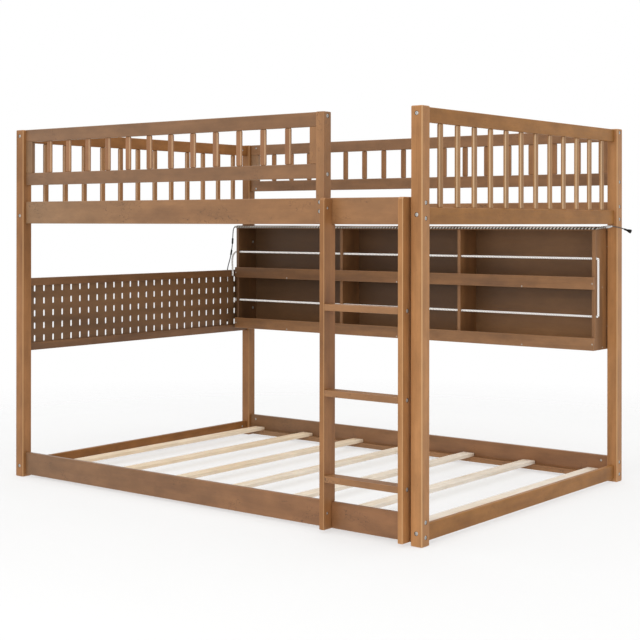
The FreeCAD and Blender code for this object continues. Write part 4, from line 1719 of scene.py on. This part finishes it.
@dataclass(frozen=True)
class Screws:
    """The small screws of the shelf and the slats."""

    profile: tuple[Ring, ...] = (
        (0.0011, 0.0004), (-0.0003, 0.0013), (-0.0004, 0.0017), (-0.0003, 0.0030), (0.0, 0.0033),
        (0.003, 0.0012))
    sides: int = 12
    lip_y: float = 0.591
    lip_xs: tuple[float, ...] = (-0.632, 0.0, 0.632)
    lip_heights: tuple[float, ...] = (0.786, 0.544)
    lip_end_xs: tuple[float, ...] = (-0.953, 0.953)
    lip_end_heights: tuple[float, ...] = (0.805, 0.5615)
    side_x: float = 0.9605
    side_y: float = 0.667
    side_heights: tuple[float, ...] = (0.7886, 0.545)
    slat_count: int = 7
    slat_pitch: float = 0.3
    slat_ys: tuple[float, ...] = (-0.660, 0.692)
    slat_tops: tuple[float, ...] = (0.045, 1.079)

    def shape(self) -> Shape:
        """Return the head of a small countersunk screw, +Z into the wood."""
        return turned((0, 0, 0), (0, 0, 1), self.profile, self.sides)

    def build(self, tree: Tree) -> None:
        """Build all screws.

        Args:
            tree: the tree that puts fasteners in place.
        """
        lips = ((self.lip_xs, self.lip_heights), (self.lip_end_xs, self.lip_end_heights))
        shelf = [((x, self.lip_y, z), (0, 1, 0)) for xs, heights in lips for x in xs for z in heights]
        shelf += [((sign * self.side_x, self.side_y, z), (-sign, 0, 0)) for sign in (-1, 1)
                  for z in self.side_heights]
        scattered(tree, "shelf_screws", self.shape(), shelf, SCREW)
        half = self.slat_count // 2
        decks = [((x * self.slat_pitch, y, z), (0, 0, -1)) for x in range(-half, half + 1)
                 for y in self.slat_ys for z in self.slat_tops]
        scattered(tree, "slat_screws", self.shape(), decks, SCREW)


# Wood


def dress(name: str, shape: Shape, finish: WoodFinish, grain: Grain, node: str, slot: Slot = Slot.WOOD
          ) -> bpy.types.Object:
    """Turn a wooden shape into a finished and drilled piece in place of its node.

    Args:
        name: the piece's name.
        shape: its shape.
        finish: its wood finish.
        grain: the axis that its grain runs along.
        node: the node that it stands for.
        slot: its material slot.

    Returns:
        The piece.
    """
    piece = mesh_object(name, to_mesh(name, shape, BOARD_SMOOTH), finish.material(node, grain))
    cut(piece, HARDWARE.drillings.get(node, ()))
    return finished(piece, slot, node)


def board(node: str, grain: Grain, ease: float, finish: WoodFinish, slot: Slot = Slot.WOOD
          ) -> bpy.types.Object:
    """Build one plain board between its node's corners.

    Args:
        node: the node that it stands for.
        grain: the axis that its grain runs along.
        ease: the radius of its edges.
        finish: its wood finish.
        slot: its material slot.

    Returns:
        The piece.
    """
    low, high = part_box(node)
    return dress(f"{node}_board", eased_box(low, high, ease, 3), finish, grain, node, slot)


def row(tree: Tree, node: str, count: int, axis: int, width: float, grain: Grain, ease: float,
        finish: WoodFinish, slot: Slot = Slot.WOOD) -> bpy.types.Object:
    """Build an even row of boards that fills its node's box.

    Args:
        tree: the tree that repeats them.
        node: the node that the row stands for.
        count: how many boards there are.
        axis: the axis that the row runs along.
        width: one board's width.
        grain: the axis that the grain runs along.
        ease: the radius of the edges.
        finish: the wood finish.
        slot: the material slot.

    Returns:
        The piece.
    """
    low, high = (list(corner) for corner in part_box(node))
    step = [0.0, 0.0, 0.0]
    step[axis] = (high[axis] - low[axis] - width) / (count - 1)
    high[axis] = low[axis] + width
    base = to_mesh("board", eased_box(low, high, ease), BOARD_SMOOTH)
    piece = tree.apply(f"{node}_row", base, finish.material(node, grain), {"Count": count, "Step": step})
    level(piece)
    return finished(piece, slot, node)


@dataclass(frozen=True)
class CornerPosts:
    """The four square posts."""

    ease: float = 0.0038

    def build(self) -> None:
        """Build the posts."""
        for side in ("front", "rear"):
            # The left posts take the post stain with painted shade
            for end, finish in (("left", SHADED_POST_STAIN), ("right", POST_STAIN)):
                board(f"{side}_{end}_post", Grain.Z, self.ease, finish)


@dataclass(frozen=True)
class Guard:
    """What differs between the front guard and the rear one."""

    side: str
    picket_count: int
    stile_width: float
    finish: WoodFinish


@dataclass(frozen=True)
class LongSides:
    """The rails and guards along both long sides."""

    tree: Tree
    rail_ease: float = 0.0028
    stile_ease: float = 0.002
    picket_ease: float = 0.0038
    picket_width: float = 0.025
    rails: tuple[tuple[str, WoodFinish], ...] = (
        # The lower rails take the rail stain with painted shade
        ("lower_rail", SHADED_LOW_RAIL_STAIN), ("upper_rail", RAIL_STAIN), ("guard_top_rail", GUARD_STAIN),
        ("guard_middle_rail", GUARD_STAIN))
    # Both guards' pickets take darker copies of the picket stain, painted shade
    guards: tuple[Guard, ...] = (
        Guard("front", 12, 0.038, SHADED_FRONT_PICKET_STAIN), Guard("rear", 16, 0.046, SHADED_REAR_PICKET_STAIN))

    def stiles(self, guard: Guard) -> None:
        """Build the two flat stiles at a guard's ends.

        Args:
            guard: the guard.
        """
        node = f"{guard.side}_guard_stiles"
        low, high = (Vector(corner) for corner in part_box(node))
        run, width = Vector((high.x - low.x, 0, 0)), Vector((guard.stile_width, 0, 0))
        ends = joined((eased_box(low, high - run + width, self.stile_ease, 3),
                       eased_box(low + run - width, high, self.stile_ease, 3)))
        dress(f"{node}_pair", ends, RAIL_STAIN, Grain.Z, node)

    def build(self) -> None:
        """Build both sides."""
        for guard in self.guards:
            for rail, finish in self.rails:
                board(f"{guard.side}_{rail}", Grain.X, self.rail_ease, finish)
            self.stiles(guard)
            row(self.tree, f"{guard.side}_guard_pickets", guard.picket_count, 0, self.picket_width, Grain.Z,
                self.picket_ease, guard.finish)


@dataclass(frozen=True)
class EndFrames:
    """The rails and pickets of both ends."""

    tree: Tree
    rail_ease: float = 0.0028
    picket_ease: float = 0.0038
    picket_width: float = 0.025
    picket_count: int = 12

    def build(self) -> None:
        """Build both ends."""
        # Both ends' rails and pickets take painted shade that darkens the left end
        for end in ("left", "right"):
            for rail in ("lower_rail", "upper_rail", "top_rail"):
                board(f"{end}_{rail}", Grain.Y, self.rail_ease, END_STAIN)
            row(self.tree, f"{end}_end_pickets", self.picket_count, 1, self.picket_width, Grain.Z,
                self.picket_ease, PICKET_STAIN)


@dataclass(frozen=True)
class Decks:
    """The two slatted decks on their ledgers."""

    tree: Tree
    ledger_ease: float = 0.002
    slat_ease: float = 0.0016
    slat_width: float = 0.056
    slat_count: int = 7

    def build(self) -> None:
        """Build both decks."""
        for deck in ("lower", "upper"):
            for side in ("front", "rear"):
                board(f"{side}_{deck}_ledger", Grain.X, self.ledger_ease, RAIL_STAIN)
            row(self.tree, f"{deck}_slats", self.slat_count, 0, self.slat_width, Grain.Y, self.slat_ease,
                PINE, Slot.PINE)


@dataclass(frozen=True)
class Ladder:
    """The notched stiles, the rungs and the guard post beside the opening."""

    front: float = -0.746
    lower_bottom: float = 0.010
    lower_top: float = 0.100
    upper_bottom: float = 1.044
    upper_top: float = 1.134
    corner: float = 0.010
    corner_steps: int = 6
    stile_ease: float = 0.0025
    rung_ease: float = 0.002
    post_ease: float = 0.003

    def stile(self, node: str, finish: WoodFinish) -> None:
        """Build one stile, hooked over both front rails.

        Args:
            node: its node.
            finish: its wood finish.
        """
        low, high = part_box(node)
        quarter = [math.radians(90 * step / self.corner_steps) for step in range(self.corner_steps + 1)]
        turn = [(self.front + self.corner * (1 - math.cos(angle)),
                 self.upper_top - self.corner * (1 - math.sin(angle))) for angle in quarter]
        outer, inner = FRAME.front_rail_out, FRAME.front_rail_in
        outline = [(self.front, self.lower_bottom), *turn, (outer, self.upper_top),
                   (outer, self.upper_bottom), (inner, self.upper_bottom), (inner, self.lower_top),
                   (outer, self.lower_top), (outer, self.lower_bottom)]
        shape = eased_profile(outline, low[0], high[0], self.stile_ease)
        dress(f"{node}_board", shape, finish, Grain.Z, node)

    def guard_post(self) -> None:
        """Build the guard post, lapped over the upper rail's face."""
        low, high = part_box("guard_post")
        lap = FRAME.front_rail_out
        outline = [(low[1], low[2]), (lap, low[2]), (lap, self.upper_top), (high[1], self.upper_top),
                   (high[1], high[2]), (low[1], high[2])]
        shape = eased_profile(outline, low[0], high[0], self.post_ease)
        dress("guard_post_board", shape, RAIL_STAIN, Grain.Z, "guard_post")

    def build(self) -> None:
        """Build the ladder and the guard post."""
        # The left stile takes the post stain with painted shade
        self.stile("ladder_left_stile", SHADED_POST_STAIN)
        self.stile("ladder_right_stile", POST_STAIN)
        for rung in ("low", "middle", "high"):
            board(f"ladder_{rung}_rung", Grain.X, self.rung_ease, RAIL_STAIN)
        self.guard_post()


@dataclass(frozen=True)
class Pegboard:
    """The slotted panel held in the grooves of its two rails."""

    slot_width: float = 0.0115
    slot_run: float = 0.028
    slot_rise: float = 0.002
    columns: int = 27
    rows: int = 5
    column_pitch: float = 0.050
    row_pitch: float = 0.052
    groove: float = 0.008
    rail_ease: float = 0.0012

    def rail(self, node: str, up: float) -> None:
        """Build one grooved rail.

        Args:
            node: its node.
            up: 1 where the groove is in its top, -1 where it is in its underside.
        """
        low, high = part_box(node)
        inner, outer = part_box("pegboard_panel")
        far, near = (low[2], high[2]) if up > 0 else (high[2], low[2])
        floor = near - up * self.groove
        outline = [(low[0], far), (high[0], far), (high[0], near), (outer[0], near), (outer[0], floor),
                   (inner[0], floor), (inner[0], near), (low[0], near)]
        shape = eased_profile(outline, low[1], high[1], self.rail_ease)
        swap_x_and_y = Matrix(((0, 1, 0, 0), (1, 0, 0, 0), (0, 0, 1, 0), (0, 0, 0, 1)))
        bmesh.ops.transform(shape, matrix=swap_x_and_y, verts=shape.verts)
        dress(f"{node}_board", shape, PEG_RAIL_STAIN, Grain.Y, node)

    def panel(self) -> None:
        """Build the panel with its rows and columns of round-ended slots."""
        node = "pegboard_panel"
        low, high = (Vector(corner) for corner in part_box(node))
        size, middle = high - low, (low + high) / 2
        values = {"Width": size.y, "Height": size.z, "Thickness": size.x, "Slot Width": self.slot_width,
                  "Slot Run": self.slot_run, "Columns": self.columns, "Rows": self.rows,
                  "Grid Width": (self.columns - 1) * self.column_pitch,
                  "Grid Height": (self.rows - 1) * self.row_pitch, "Rise": self.slot_rise}
        piece = slotted_tree().apply("pegboard_slotted_panel", bpy.data.meshes.new("start"),
                                     PANEL_STAIN.material(node, Grain.Y), values)
        piece.data.transform(Matrix.Translation((low.x, middle.y, middle.z)))
        finished(piece, Slot.PANEL, node)

    def build(self) -> None:
        """Build the panel and its rails."""
        self.rail("pegboard_bottom_rail", 1)
        self.rail("pegboard_top_rail", -1)
        self.panel()


@dataclass(frozen=True)
class Shelf:
    """The bookshelf between the rear posts."""

    thickness: float = 0.015
    board_ease: float = 0.0018
    lip_ease: float = 0.0022
    back_ease: float = 0.0008
    divider_ease: float = 0.0012
    bays: tuple[tuple[float, float], ...] = ((0.551, 0.781), (0.796, 1.019))

    def dividers(self) -> None:
        """Build the four upright dividers, two in each bay."""
        node = "shelf_dividers"
        low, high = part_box(node)
        solids = [eased_box((x, low[1], bottom), (x + self.thickness, high[1], top), self.divider_ease)
                  for x in (low[0], high[0] - self.thickness) for bottom, top in self.bays]
        dress(f"{node}_boards", joined(solids), SHELF_STAIN, Grain.Z, node)

    def build(self) -> None:
        """Build the shelf's boards."""
        # Most shelf boards take the shelf stain with painted shade
        for end in ("left", "right"):
            board(f"shelf_{end}_side", Grain.Z, self.board_ease, SHELF_STAIN)
        for height in ("bottom", "middle", "top"):
            board(f"shelf_{height}_board", Grain.X, self.board_ease, SHELF_STAIN)
        board("shelf_bottom_lip", Grain.X, self.lip_ease, SHELF_LOW_STAIN)
        board("shelf_middle_lip", Grain.X, self.lip_ease, SHELF_STAIN)
        # The back's inner face takes painted shade
        board("shelf_back", Grain.X, self.back_ease, BACK_STAIN, Slot.PANEL)
        self.dividers()


def main() -> None:
    """Build the bed's looks, one assembly after another."""
    logging.basicConfig(level=logging.INFO, format="%(name)s: %(message)s")
    View().place()
    Leads().build()
    Studio().build()
    ShelfLights().build()
    HARDWARE.schedule()
    rows, fasteners = row_tree(), scatter_tree()
    for assembly in (CornerPosts(), LongSides(rows), EndFrames(rows), Decks(rows), Ladder(), Pegboard(),
                     Shelf()):
        assembly.build()
    HARDWARE.build(fasteners)
    Screws().build(fasteners)
    low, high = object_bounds()
    ({"cad": [[float(part) for part in corner] for corner in CAD_BOUNDS],
               "visual": [[float(part) for part in corner] for corner in (low, high)]})


if __name__ == "__main__":
    main()
